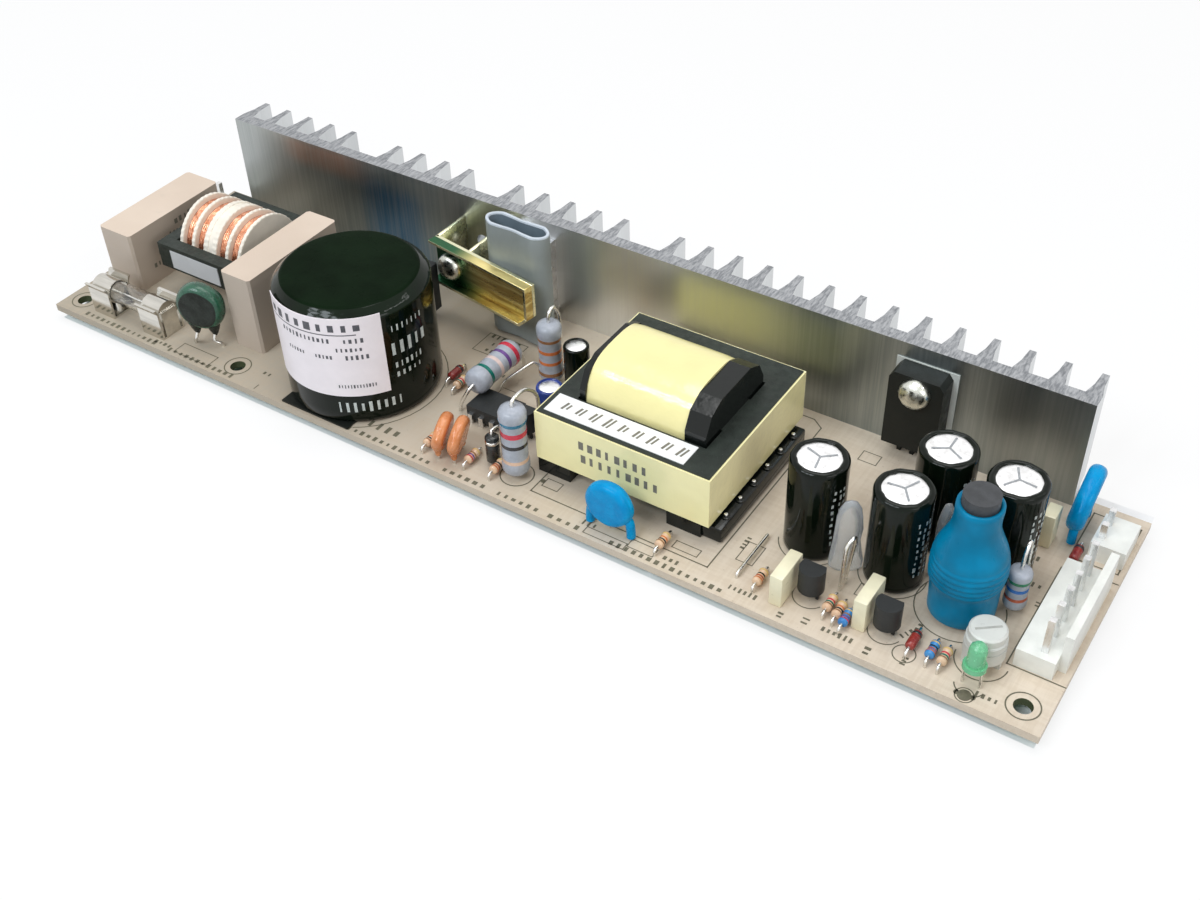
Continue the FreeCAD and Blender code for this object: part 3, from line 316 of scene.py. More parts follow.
def box_finish():
    """Warm beige case of the two mains capacitors, with its sides greyed by painted shade and a few smudges.
    """
    finish = Finish("box_case", 0.5)
    warm = finish.mottle((0.71, 0.575, 0.46), (0.76, 0.625, 0.505), 0.06)
    smudge = finish.noise(0.2, 5.0).soft(0.62, 0.78) * 0.25
    warm = finish.blend(smudge, warm, (0.52, 0.46, 0.38))
    # painted shade: the upright sides are greyer than the top
    side = (abs(finish.facing("Z")) < 0.5) * 0.75
    finish.feed("Base Color", finish.blend(side, warm, (0.47, 0.40, 0.33)))
    finish.rough_by(0.42, 0.6, 0.4)
    finish.bump(finish.noise(2.4, 4.0), 0.03)
    return finish


def ferrite_finish(name, colour=(0.014, 0.019, 0.015)):
    finish = Finish(name, 0.42, Specular_IOR_Level=0.3)
    tone = finish.mottle(colour, shade(colour, 1.5), 0.5, 5.0)
    chips = (finish.cells(0.9) < 0.08) * 0.3
    finish.feed("Base Color", finish.blend(chips, tone, (0.12, 0.13, 0.12)))
    finish.rough_by(0.32, 0.62, 0.8)
    finish.bump(finish.noise(3.2, 5.0), 0.05)
    return finish


def tape_finish(name, colour):
    """Polyester tape: glossy, with the faint edges of its turns and small bubbles."""
    finish = Finish(name, 0.24, Coat_Weight=0.25, Coat_Roughness=0.12)
    tone = finish.mottle(colour, shade(colour, 1.07), 0.09, 4.0)
    creases = finish.noise(0.12, 4.0, (1, 1, 5)).soft(0.62, 0.75) * 0.12
    finish.feed("Base Color", finish.blend(creases, tone, shade(colour, 0.82)))
    finish.rough_by(0.10, 0.26, 0.7)
    finish.bump(finish.noise(0.22, 4.0), 0.2)
    finish.bump(finish.noise(1.6, 2.0, (1, 1, 4)), 0.02)
    return finish


def sleeve_finish(name, colour, roughness=0.1, shine=0.25):
    """Tight shrink sleeve: deep gloss with slow waves and faint lines along its height."""
    finish = Finish(name, roughness, Specular_IOR_Level=shine)
    finish.mottle(shade(colour, 0.8), shade(colour, 1.25), 0.12)
    finish.rough_by(roughness * 0.8, roughness + 0.1, 0.5, (1, 1, 4))
    finish.bump(finish.noise(0.14, 3.0, (1, 1, 3)), 0.1)
    finish.bump(finish.noise(2.0, 2.0, (1, 1, 8)), 0.006)
    return finish


def paper_finish(name, colour):
    finish = Finish(name, 0.42)
    finish.mottle(shade(colour, 0.97), shade(colour, 1.03), 0.2)
    finish.rough_by(0.32, 0.5, 0.5)
    finish.bump(finish.noise(3.5, 4.0), 0.012)
    return finish


def zinc_edge_finish():
    """Yellow passivated steel where the light catches it: greenish cream."""
    finish = Finish("zinc_edge", 0.24, 1.0)
    streaks = finish.noise(0.5, 4.0, (9, 2, 1))
    cream = finish.blend(streaks.soft(0.35, 0.65), (0.90, 0.86, 0.60), (0.74, 0.76, 0.52))
    finish.feed("Base Color", cream)
    finish.rough_by(0.18, 0.34, 0.5, (8, 1, 1))
    finish.bump(finish.noise(1.4, 3.0, (10, 1, 1)), 0.02)
    return finish


def zinc_web_finish():
    """The recessed face of the bar: dark green by its screw, golden brown with yellow streaks beyond."""
    finish = Finish("zinc_web", 0.3, 0.9)
    streaks = finish.noise(0.75, 3.0, (12, 4, 1))
    brown = finish.blend(streaks.soft(0.38, 0.62), (0.52, 0.37, 0.12), (0.96, 0.82, 0.36))
    beyond = finish.x.soft(-31, -22)
    finish.feed("Base Color", finish.blend(beyond, (0.03, 0.12, 0.05), brown))
    finish.rough_by(0.22, 0.4, 0.5, (8, 1, 1))
    finish.bump(streaks, 0.03)
    return finish


def rubber_finish(name, colour):
    finish = Finish(name, 0.48, Coat_Weight=0.15, Coat_Roughness=0.35)
    finish.mottle(shade(colour, 0.9), shade(colour, 1.08), 0.15, 4.0, (1, 1, 3))
    finish.rough_by(0.38, 0.58, 0.5)
    finish.bump(finish.noise(0.7, 3.0, (1, 1, 5)), 0.05)
    return finish


def clear_finish(name, colour, roughness, share):
    finish = Finish(name, roughness, Transmission_Weight=share, IOR=1.45)
    finish.mottle(shade(colour, 0.95), colour, 0.4)
    finish.rough_by(roughness * 0.7, roughness * 1.5 + 0.02, 1.0)
    finish.bump(finish.noise(1.0, 2.0), 0.01)
    return finish


def winding_finish():
    """Enamelled wire seen on a coil: salmon copper, darker between the turns."""
    finish = Finish("coil_copper", 0.24, 0.85, Coat_Weight=0.6, Coat_Roughness=0.12)
    finish.mottle((0.50, 0.17, 0.075), (0.84, 0.42, 0.26), 1.3, 4.0)
    finish.rough_by(0.18, 0.36, 1.0)
    finish.bump(finish.noise(2.6, 3.0), 0.03)
    return finish


def plain_ink(name, colour, roughness=0.5):
    finish = Finish(name, roughness)
    finish.mottle(colour, shade(colour, 1.35), 1.2, 4.0)
    finish.rough_by(roughness - 0.1, roughness + 0.12, 2.0)
    finish.bump(finish.noise(6.0, 2.0), 0.004)
    return finish


board_look = board_finish()
sink_look = sink_finish()
box_look = box_finish()
core_look = ferrite_finish("core_ferrite")
rod_look = ferrite_finish("rod_ferrite", (0.045, 0.047, 0.05))
spool_look = moulded("spool_cream", (0.93, 0.86, 0.74), 0.45)
coil_look = winding_finish()
tape_look = tape_finish("core_tape", (0.94, 0.86, 0.46))
wrap_look = tape_finish("winding_tape", (0.93, 0.84, 0.40))
sleeve_black = sleeve_finish("can_sleeve_black", (0.003, 0.006, 0.003), 0.05, 0.2)
shoulder_look = sleeve_finish("can_shoulder_black", (0.004, 0.010, 0.004), 0.03, 0.17)
flat_top_look = sleeve_finish("can_top_black", (0.005, 0.012, 0.005), 0.3, 0.015)
sleeve_navy = sleeve_finish("can_sleeve_navy", (0.03, 0.06, 0.28))
shrink_blue = sleeve_finish("shrink_blue", (0.0, 0.20, 0.37), 0.32, 0.16)
label_look = paper_finish("label_pale", (0.92, 0.85, 0.87))
strip_look = paper_finish("label_white", (0.92, 0.92, 0.91))
tag_look = paper_finish("label_grey", (0.60, 0.61, 0.62))
nylon_look = moulded("nylon_white", (0.86, 0.86, 0.80), 0.36, 2.0)
black_look = moulded("moulded_black", (0.010, 0.012, 0.010), 0.38, 4.0, 0.03, 0.0, 0.25)
epoxy_look = moulded("epoxy_grey_black", (0.024, 0.026, 0.026), 0.45, 4.0, 0.03, 0.0, 0.3)
bobbin_look = moulded("bobbin_black", (0.006, 0.008, 0.007), 0.14, 0.5, 0.03, 0.0, 0.35)
tin_look = drawn_metal("tinned_wire", (0.80, 0.79, 0.76), 0.2)
pin_look = drawn_metal("tinned_pin", (0.78, 0.78, 0.78), 0.22, (1, 1, 6))
nickel_look = drawn_metal("nickel_sheet", (0.66, 0.64, 0.59), 0.12, (6, 1, 1))
steel_look = drawn_metal("screw_steel", (0.70, 0.71, 0.64), 0.24)
lid_look = drawn_metal("can_lid", (0.97, 0.965, 0.96), 0.32, (1, 1, 1), 0.002)
slug_look = drawn_metal("machined_block", (0.70, 0.70, 0.72), 0.34)
solder_look = drawn_metal("solder", (0.74, 0.75, 0.76), 0.26, (1, 1, 1), 0.03)
zinc_look = zinc_edge_finish()
web_look = zinc_web_finish()
tube_look = rubber_finish("sleeve_grey", (0.27, 0.30, 0.295))
# painted highlight: the sleeve's rim is a pale bluish copy of its grey rubber
tube_lit_rim_look = rubber_finish("sleeve_lit_rim", (0.60, 0.66, 0.72))
# painted shade: the inside of the sleeve is a darker copy of its grey rubber
tube_shaded_inside_look = rubber_finish("sleeve_shaded_inside", (0.13, 0.17, 0.20))
pad_look = rubber_finish("insulator_pad", (0.62, 0.64, 0.60))
disc_dark_look = lacquered("disc_dark", (0.016, 0.019, 0.015), (0.030, 0.036, 0.030), 0.05, 0.0, 0.15)
disc_edge_look = lacquered("disc_dark_edge", (0.010, 0.06, 0.035), (0.02, 0.11, 0.06), 0.04, 0.3, 0.4)
disc_orange_look = lacquered("disc_orange", (0.62, 0.20, 0.06), (0.76, 0.30, 0.12))
disc_blue_look = lacquered("disc_blue", (0.0, 0.26, 0.58), (0.0, 0.33, 0.68), 0.02, 0.03, 0.12)
film_look = moulded("film_box_cream", (0.88, 0.82, 0.58), 0.34, 2.0, 0.01, 0.2)
resistor_look = lacquered("resistor_lavender", (0.36, 0.385, 0.43), (0.45, 0.475, 0.53), 0.02, 0.12, 0.3)
small_look = lacquered("resistor_tan", (0.72, 0.47, 0.30), (0.80, 0.57, 0.38), 0.01)
small_blue_look = lacquered("resistor_blue", (0.03, 0.20, 0.52), (0.05, 0.28, 0.62), 0.01)
diode_look = lacquered("diode_red", (0.20, 0.02, 0.02), (0.33, 0.04, 0.03), 0.01)
post_look = lacquered("diode_black", (0.015, 0.017, 0.016), (0.03, 0.03, 0.03), 0.01)
glass_look = clear_finish("fuse_glass", (0.97, 0.98, 0.98), 0.03, 1.0)
stake_look = clear_finish("staking_compound", (0.88, 0.91, 0.93), 0.14, 0.78)
lamp_look = clear_finish("lamp_green", (0.23, 0.70, 0.38), 0.2, 0.3)
trimmer_look = moulded("trimmer_white", (0.62, 0.62, 0.57), 0.36)
knob_look = moulded("knob_pale", (0.66, 0.665, 0.62), 0.34)
print_look = plain_ink("board_print", (0.11, 0.10, 0.065), 0.6)
label_ink = plain_ink("label_print", (0.07, 0.07, 0.08), 0.5)
can_ink = plain_ink("can_print", (0.46, 0.50, 0.48), 0.4)
strip_ink = plain_ink("strip_print", (0.16, 0.15, 0.12), 0.5)

node_looks = {
    "circuit_board": board_look, "heatsink": sink_look, "heatsink_pins": steel_look,
    "left_box_capacitor": box_look, "right_box_capacitor": box_look, "choke_core": core_look,
    "choke_spool": spool_look, "choke_label": tag_look, "fuse_glass": glass_look,
    "fuse_caps": nickel_look, "fuse_wire": tin_look, "fuse_clips": nickel_look,
    "bulk_capacitor_pad": black_look, "bulk_capacitor_label": label_look,
    "bridge_rectifier": epoxy_look, "input_connector": nylon_look, "input_connector_pins": pin_look,
    "switching_transistor": epoxy_look, "transistor_block": slug_look, "clamp_bracket": zinc_look,
    "clamp_screw": steel_look, "control_package": epoxy_look, "control_package_pins": pin_look,
    "small_transistors": epoxy_look, "transformer_core": core_look, "transformer_tape": tape_look,
    "transformer_bobbin": bobbin_look, "transformer_label": strip_look, "transformer_pins": pin_look,
    "output_rectifier": black_look, "rectifier_pad": pad_look, "rectifier_screw": steel_look,
    "rod_core": rod_look, "rod_winding": coil_look, "trimmer_base": trimmer_look,
    "trimmer_knob": knob_look, "indicator_lamp": lamp_look, "output_connectors": nylon_look,
    "output_connector_pins": pin_look, "output_capacitor_tops": lid_look,
}
for node_name, look in node_looks.items():
    mesh = solids[node_name].data
    mesh.materials.clear()
    mesh.materials.append(look.material)


# Mesh building

def piece(name, bm, looks, replaces=(), body="supply", sharp=40):
    """Turns a bmesh into a piece of the object that rides on a body."""
    mesh = bpy.data.meshes.new(name)
    bmesh.ops.recalc_face_normals(bm, faces=bm.faces)
    bm.to_mesh(mesh)
    bm.free()
    for look in looks:
        mesh.materials.append(look.material)
    for face in mesh.polygons:
        face.use_smooth = True
    mesh.set_sharp_from_angle(angle=math.radians(sharp))
    thing = bpy.data.objects.new(name, mesh)
    bpy.context.scene.collection.objects.link(thing)
    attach(thing, body)
    if replaces:
        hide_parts(*replaces)
    return thing


def straight_frame(start, direction):
    """A matrix whose Z runs along direction from start."""
    turn = Vector(direction).normalized().to_track_quat("Z", "Y").to_matrix().to_4x4()
    return Matrix.Translation(start) @ turn


def upright(x, y, z=0.0):
    """A matrix that stands on a board place with its Z up."""
    return straight_frame(spot(x, y, z), UP)


def stitch(bm, low, high, look=0):
    """Faces between two closed loops of points. A loop of one point is a tip."""
    steps = max(len(low), len(high))
    for step in range(steps):
        after = (step + 1) % steps
        corners = []
        for loop, place in ((low, step), (low, after), (high, after), (high, step)):
            vert = loop[place % len(loop)]
            if vert not in corners:
                corners.append(vert)
        if len(corners) > 2:
            bm.faces.new(corners).material_index = look


def turn_profile(bm, profile, where, steps=48, look=0, ripple=None):
    """Revolves (radius, height) points in millimetres about the Z of matrix where."""
    looks = look if isinstance(look, list) else [look] * len(profile)
    rings = []
    for radius, height in profile:
        if radius < 1e-6:
            rings.append([bm.verts.new(where @ (Vector((0, 0, height)) * MM))])
            continue
        ring = []
        for step in range(steps):
            angle = 2 * math.pi * step / steps
            reach = radius + (ripple(angle, radius, height) if ripple else 0.0)
            point = Vector((reach * math.cos(angle), reach * math.sin(angle), height))
            ring.append(bm.verts.new(where @ (point * MM)))
        rings.append(ring)
    for row, (low, high) in enumerate(zip(rings, rings[1:])):
        stitch(bm, low, high, looks[row])


def box_into(bm, low, high, bevel):
    """A block between two board places with rounded edges."""
    first = spot(*low)
    last = spot(*high)
    middle = (first + last) / 2
    span = last - first
    made = bmesh.ops.create_cube(bm, size=1.0)
    for vert in made["verts"]:
        vert.co = middle + Vector([vert.co[i] * span[i] for i in range(3)])
    edges = list({edge for vert in made["verts"] for edge in vert.link_edges})
    bmesh.ops.bevel(bm, geom=edges, offset=bevel * MM, segments=2, affect="EDGES", profile=0.5)


def rounded_path(points, radius):
    """The corners of a path of points replaced by short curves."""
    path = [points[0]]
    for before, corner, after in zip(points, points[1:], points[2:]):
        back = before - corner
        ahead = after - corner
        reach = min(radius * MM, back.length * 0.48, ahead.length * 0.48)
        start = corner + back.normalized() * reach
        stop = corner + ahead.normalized() * reach
        for step in range(5):
            t = step / 4
            path.append(start * (1 - t) ** 2 + corner * 2 * t * (1 - t) + stop * t ** 2)
    path.append(points[-1])
    return path


def wire_into(bm, points, radius, bend=1.0, sides=10):
    """A round wire through board places, its corners bent."""
    path = rounded_path([spot(*point) for point in points], bend)
    rings = []
    side = Vector((1, 0, 0))
    for index, place in enumerate(path):
        ahead = path[min(index + 1, len(path) - 1)] - path[max(index - 1, 0)]
        ahead.normalize()
        side = side - ahead * side.dot(ahead)
        if side.length < 0.05:
            side = ahead.orthogonal()
        side.normalize()
        other = ahead.cross(side)
        ring = []
        for step in range(sides):
            angle = 2 * math.pi * step / sides
            way = side * math.cos(angle) + other * math.sin(angle)
            ring.append(bm.verts.new(place + way * radius * MM))
        rings.append(ring)
    for low, high in zip(rings, rings[1:]):
        stitch(bm, low, high)
    bm.faces.new(rings[0])
    bm.faces.new(rings[-1])


INK_LIFT = 0.03


def bar_into(bm, x, y, length, width, angle=0.0, lift=INK_LIFT, base=0.0):
    """A flat printed bar on the board, centred at x, y."""
    c = math.cos(math.radians(angle))
    s = math.sin(math.radians(angle))
    verts = []
    for u, v in ((-length, -width), (length, -width), (length, width), (-length, width)):
        corner = spot(x + (u * c - v * s) / 2, y + (u * s + v * c) / 2, base + lift)
        verts.append(bm.verts.new(corner))
    bm.faces.new(verts)


def line_into(bm, points, width):
    """Straight printed lines from point to point."""
    for (x0, y0), (x1, y1) in zip(points, points[1:]):
        length = math.hypot(x1 - x0, y1 - y0) + width
        angle = math.degrees(math.atan2(y1 - y0, x1 - x0))
        bar_into(bm, (x0 + x1) / 2, (y0 + y1) / 2, length, width, angle)


def ring_into(bm, x, y, radius, width, start=0.0, sweep=360.0):
    """A printed circle, or the part of it that sweeps from start."""
    steps = max(8, int(sweep / 8))
    last = None
    for step in range(steps + 1):
        angle = math.radians(start + sweep * step / steps)
        pair = []
        for reach in (radius - width / 2, radius + width / 2):
            place = spot(x + reach * math.cos(angle), y + reach * math.sin(angle), INK_LIFT)
            pair.append(bm.verts.new(place))
        if last:
            bm.faces.new((last[0], last[1], pair[1], pair[0]))
        last = pair


def ticks_into(bm, x, y, length, height, angle, ticks, heavy=0.3):
    """A row of plain upright ticks."""
    c = math.cos(math.radians(angle))
    s = math.sin(math.radians(angle))
    pitch = length / ticks
    for index in range(ticks):
        middle = pitch * (index + 0.5) - length / 2
        tall = height * chance.uniform(0.6, 1.0)
        wide = pitch * chance.uniform(heavy, heavy + 0.3)
        bar_into(bm, x + middle * c, y + middle * s, wide, tall, angle)


# Printed outlines on the board

ink = bmesh.new()
for hole_x, hole_y in mount_holes:
    ring_into(ink, hole_x, hole_y, 2.75, 0.25)
for width, points in (
    (0.25, [(123.4, 10.4), (123.4, 5.0), (160.8, 4.9), (160.8, 48.5), (158.5, 50.2), (123.4, 50.2)]),
    (0.25, [(212.3, 36.6), (212.3, 11.4), (222, 11.4)]),
    (0.25, [(212.6, 52.6), (212.6, 39.8), (221, 39.8), (221, 52.6), (212.6, 52.6)]),
    (0.25, [(219.6, 37.5), (221.8, 37.5)]), (0.2, [(58.2, 0.7), (58.2, 2.0)]),
):
    line_into(ink, points, width)
for centre, radius, width, start, sweep in (
    (rod_place, 7.6, 0.22, 150, 240), (trimmer_place, 4.4, 0.22, 180, 180),
    ((118.7, 7.3), 3.2, 0.25, 0, 360), (can_places[0], 5.9, 0.2, 200, 200),
    (can_places[1], 5.9, 0.2, 180, 190), (big_can_place, 16.4, 0.22, -60, 130),
    ((BOARD - 43.1, 8.2), 3.0, 0.2, 180, 150), ((BOARD - 29, 7.6), 3.0, 0.2, 180, 160),
    (lamp_place, 2.6, 0.22, 200, 140), ((BOARD - 24.4, 4.6), 1.9, 0.2, 0, 360),
):
    ring_into(ink, *centre, radius, width, start, sweep)
for left, bottom, long, deep in (
    (124.3, 7.2, 3.4, 2.2), (137.6, 0.9, 8.4, 1.6), (146.2, 2.0, 5.2, 2.0),
    (153.0, 6.0, 5.0, 1.8), (164.0, 9.2, 3.2, 5.0), (170.6, 44.0, 3.6, 2.8),
    (178.2, 40.0, 1.6, 3.2), (88.0, 34.2, 9.6, 6.4), (14.2, 9.8, 12.4, 0.4),
    (101.2, 24.6, 3.4, 2.4), (92.0, 26.5, 4.0, 2.2), (190.6, 28.2, 3.0, 1.4),
    (35.0, 1.2, 9.6, 3.2), (185.0, 12.4, 2.2, 3.0),
):
    right = left + long
    top = bottom + deep
    line_into(ink, [(left, bottom), (right, bottom), (right, top), (left, top), (left, bottom)], 0.18)
for x, y, long, tall, angle, ticks in (
    (88.8, 4.6, 8.4, 2.3, 0, 4), (57.2, 5.6, 2.6, 1.3, 0, 2), (31.0, 1.9, 5.0, 1.1, 0, 4),
    (137.5, 3.2, 3.4, 1.3, 0, 3), (154.6, 3.0, 3.6, 1.2, 0, 3), (168.8, 2.9, 5.8, 1.3, 0, 6),
    (176.6, 1.6, 1.6, 1.3, 90, 2), (180.8, 2.6, 2.0, 1.3, 90, 2), (186.6, 2.6, 6.0, 1.3, 0, 6),
    (192.2, 2.0, 2.2, 1.2, 90, 2), (198.2, 3.2, 2.2, 1.2, 90, 3), (212.2, 3.0, 4.2, 1.3, 0, 4),
    (163.6, 13.6, 3.6, 1.3, 90, 4), (197.4, 10.6, 3.4, 1.2, 90, 3), (209.6, 30.2, 3.6, 1.2, 0, 3),
    (212.0, 26.2, 1.6, 1.2, 90, 2), (207.2, 36.4, 3.0, 1.2, 0, 3), (92.4, 40.0, 7.6, 1.5, 0, 6),
    (93.4, 37.6, 6.4, 1.5, 0, 5), (93.0, 35.4, 5.6, 1.3, 0, 5), (99.0, 30.0, 3.4, 1.4, 0, 3),
    (106.0, 29.0, 2.8, 1.2, 0, 2), (196.2, 8.8, 3.0, 1.2, 60, 3),
):
    ticks_into(ink, x, y, long, tall, angle, ticks)
for start, stop in (
    (8.0, 30.0), (33.0, 52.0), (80.5, 103.0), (105.4, 116.0), (118.0, 128.0), (129.4, 137.0),
    (142.6, 166.0),
):
    ticks = int((stop - start) / 1.55)
    ticks_into(ink, (start + stop) / 2, 1.25, stop - start, 1.2, 0, ticks, 0.28)
for x, y in ((123.9, 8.3), (BOARD - 14.2, 1.7), (BOARD - 11.6, 1.9)):
    ring_into(ink, x, y, 0.25, 0.5)
spot_place = (BOARD - 12.9, 1.7)
ring_into(ink, *spot_place, 1.5, 0.2)
turn_profile(ink, [(1.15, 0.0), (1.1, 0.12), (0.6, 0.2), (0, 0.2)], upright(*spot_place), 24)
piece("board_outlines", ink, [print_look])


# Resistor bodies and their colour bands

band_colours = {
    "green": (0.0, 0.14, 0.11), "purple": (0.13, 0.06, 0.22), "red": (0.55, 0.03, 0.06),
    "brown": (0.28, 0.13, 0.06), "orange": (0.62, 0.17, 0.05), "teal": (0.02, 0.17, 0.28),
    "black": (0.02, 0.02, 0.022), "tan": (0.62, 0.42, 0.30), "rust": (0.42, 0.10, 0.05),
    "blue": (0.03, 0.14, 0.42), "forest": (0.03, 0.20, 0.10), "gold": (0.62, 0.45, 0.16),
    "peach": (0.62, 0.48, 0.44),
}
band_names = list(band_colours)
band_looks = [
    lacquered("band_" + name, colour, shade(colour, 1.3), 0.01) for name, colour in band_colours.items()
]


def bead_profile(length, radius, swell):
    """A coated resistor body: two rounded ends a little wider than its waist."""
    end = radius * swell
    cap = radius * 0.45
    waist = radius * 0.75
    profile = [(0, 0), (end * 0.55, 0.03), (end * 0.88, cap * 0.35), (end, cap),
               (end, waist + cap * 0.6), (radius, waist + cap * 1.5)]
    return profile + [(r, length - h) for r, h in reversed(profile)]


def bead(bm, start, direction, length, radius, swell, marks, steps):
    """A resistor body with its colour bands given as (distance, width, colour)."""
    profile = bead_profile(length, radius, swell)
    where = straight_frame(start, direction)
    turn_profile(bm, profile, where, steps)

    def reach_at(height):
        for (r0, h0), (r1, h1) in zip(profile, profile[1:]):
            if h0 <= height <= h1 and h1 > h0:
                return r0 + (r1 - r0) * (height - h0) / (h1 - h0)
        return radius

    for at, width, colour in marks:
        rows = [at + width * (step / 4 - 0.5) for step in range(5)]
        lifted = [(reach_at(h) + 0.03, h) for h in rows]
        loop = [(lifted[0][0] - 0.06, rows[0])] + lifted + [(lifted[-1][0] - 0.06, rows[-1])]
        turn_profile(bm, loop, where, steps, 1 + band_names.index(colour))


# Four power resistors: one lying on its lead, three standing

power = bmesh.new()
bead(power, spot(100.9, 18.3, 6.6), ACROSS, 13.4, 2.45, 1.09,
     [(3.3, 0.95, "green"), (6.4, 0.9, "peach"), (8.9, 0.85, "purple"), (11.2, 1.0, "red")], 40)
for x, y, tall, radius, marks in (
    (108.3, 33.8, 13.3, 2.32,
     [(9.9, 0.7, "brown"), (7.2, 0.75, "orange"), (4.6, 0.7, "orange"), (2.0, 0.8, "brown")]),
    (118.7, 7.3, 15.0, 2.42,
     [(12.2, 0.8, "teal"), (9.7, 1.1, "red"), (7.0, 0.8, "black"), (3.4, 0.7, "tan")]),
    (BOARD - 13.2, 23, 8.4, 1.83, [(6.4, 0.7, "forest"), (4.6, 0.7, "blue"), (2.6, 0.6, "rust")]),
):
    bead(power, spot(x, y, 1.2), UP, tall, radius, 1.09, marks, 40)
piece("power_resistor_bodies", power, [resistor_look] + band_looks,
      ("power_resistors",), sharp=60)

heavy = bmesh.new()
tall_x = BOARD - 13.2
for radius, bend, points in (
    (0.38, 1.4, [(100.9, 34.6, LEAD_END), (100.9, 34.6, 2.0), (100.9, 33.4, 5.6), (100.9, 31.2, 6.6)]),
    (0.38, 1.6, [(100.9, 18.6, 6.6), (100.9, 17.0, 6.4), (99.6, 16.7, 4.0), (98.2, 16.9, 1.4),
                 (98.1, 16.9, LEAD_END)]),
    (0.36, 1.6, [(108.3, 33.8, 14.2), (108.3, 33.8, 16.6), (108.3, 35.6, 17.4), (108.3, 37.4, 14.6),
                 (108.3, 37.4, LEAD_END)]),
    (0.36, 1.0, [(108.3, 33.8, 1.6), (108.3, 33.8, LEAD_END)]),
    (0.36, 2.4, [(118.7, 7.3, 16.0), (118.7, 7.5, 17.6), (118.7, 11.3, 17.8), (118.7, 15.3, 14.0),
                 (118.7, 15.3, LEAD_END)]),
    (0.36, 1.0, [(118.7, 7.3, 1.6), (118.7, 7.3, LEAD_END)]),
    (0.36, 1.7, [(tall_x, 23, 9.4), (tall_x, 23.2, 12.6), (tall_x, 25.0, 14.6), (tall_x, 26.4, 11.8),
                 (tall_x, 26.4, LEAD_END)]),
    (0.36, 1.0, [(tall_x, 23, 1.6), (tall_x, 23, LEAD_END)]),
    (0.32, 1.0, [(101.1, 26.3, -0.6), (101.4, 26.6, 1.6), (102.7, 27.7, 3.0), (105.2, 32.6, 4.6),
                 (106.4, 33.6, 2.0), (106.4, 33.6, -0.6)]),
):
    wire_into(heavy, points, radius, bend)
piece("power_resistor_wires", heavy, [tin_look], ("power_resistor_leads",), sharp=60)


# Small resistors and diodes lying along the board's width

leads = bmesh.new()
LYING_HEIGHT = 1.5


def legs_down(x, y, half_body, half_pitch):
    """The two legs of a lying part: out of its ends and down through the board."""
    for sign in (-1, 1):
        foot = y + sign * half_pitch
        points = [(x, y + sign * half_body, LYING_HEIGHT), (x, foot, LYING_HEIGHT), (x, foot, LEAD_END)]
        wire_into(leads, points, 0.26, 0.7, 8)


resistor_plan = (
    (99.8, 5.6, "tan"), (109.4, 5.9, "tan"), (115.2, 6, "tan"), (93.9, 22.6, "tan"), (151.6, 5.3, "tan"),
    (110.8, 40.6, "tan"), (BOARD - 51.7, 6.4, "tan"), (BOARD - 39, 7.2, "tan"), (BOARD - 37, 6.6, "tan"),
    (BOARD - 35.3, 5.6, "blue"), (BOARD - 20.5, 6.6, "blue"), (BOARD - 18.3, 6.3, "tan"),
)
mark_sets = (("brown", "black", "orange"), ("red", "purple", "brown"), ("orange", "rust", "black"),
             ("brown", "green", "red"))
small = bmesh.new()
small_blue = bmesh.new()
for index, (x, y, tone) in enumerate(resistor_plan):
    marks = [(0.8 + 0.55 * i, 0.3, colour) for i, colour in enumerate(mark_sets[index % 4])]
    marks.append((2.8, 0.26, "gold"))
    target = small_blue if tone == "blue" else small
    bead(target, spot(x, y - 1.7, LYING_HEIGHT), ACROSS, 3.4, 0.76, 1.15, marks, 20)
    legs_down(x, y, 1.5, 2.85)
piece("small_resistor_bodies", small, [small_look] + band_looks,
      ("small_resistors",), sharp=60)
piece("small_blue_resistors", small_blue, [small_blue_look] + band_looks, sharp=60)

diodes = bmesh.new()


def band(start, direction, at, width, radius, look, steps):
    """The painted ring of a diode."""
    half = width / 2
    profile = [(radius, at - half), (radius + 0.035, at - half + 0.03),
               (radius + 0.035, at + half - 0.03), (radius, at + half)]
    turn_profile(diodes, profile, straight_frame(start, direction), steps, look)


for x, y in ((91.2, 24.6), (BOARD - 23.9, 6.9), (BOARD - 8.4, 39.6)):
    start = spot(x, y - 1.9, LYING_HEIGHT)
    glass = [(0, 0), (0.6, 0), (0.82, 0.25), (0.86, 0.6), (0.86, 3.2), (0.82, 3.55), (0.6, 3.8), (0, 3.8)]
    turn_profile(diodes, glass, straight_frame(start, ACROSS), 20)
    band(start, ACROSS, 3.0, 0.5, 0.86, 1, 20)
    legs_down(x, y, 1.7, 3.25)
post = spot(113, 7.8, 0.6)
post_profile = [(0, 0), (1.1, 0), (1.35, 0.3), (1.35, 5.7), (1.1, 6), (0, 6)]
turn_profile(diodes, post_profile, straight_frame(post, UP), 28, 1)
band(post, UP, 4.8, 0.7, 1.35, 2, 28)
wire_into(leads, [(113, 7.8, 6.4), (113, 7.8, 7.9), (113, 10.6, 7.4), (113, 10.6, LEAD_END)], 0.3, 1.3, 8)
piece("small_diode_bodies", diodes, [diode_look, post_look, tin_look],
      ("small_diodes",), sharp=60)
piece("small_leads", leads, [tin_look], ("small_part_leads",), sharp=60)

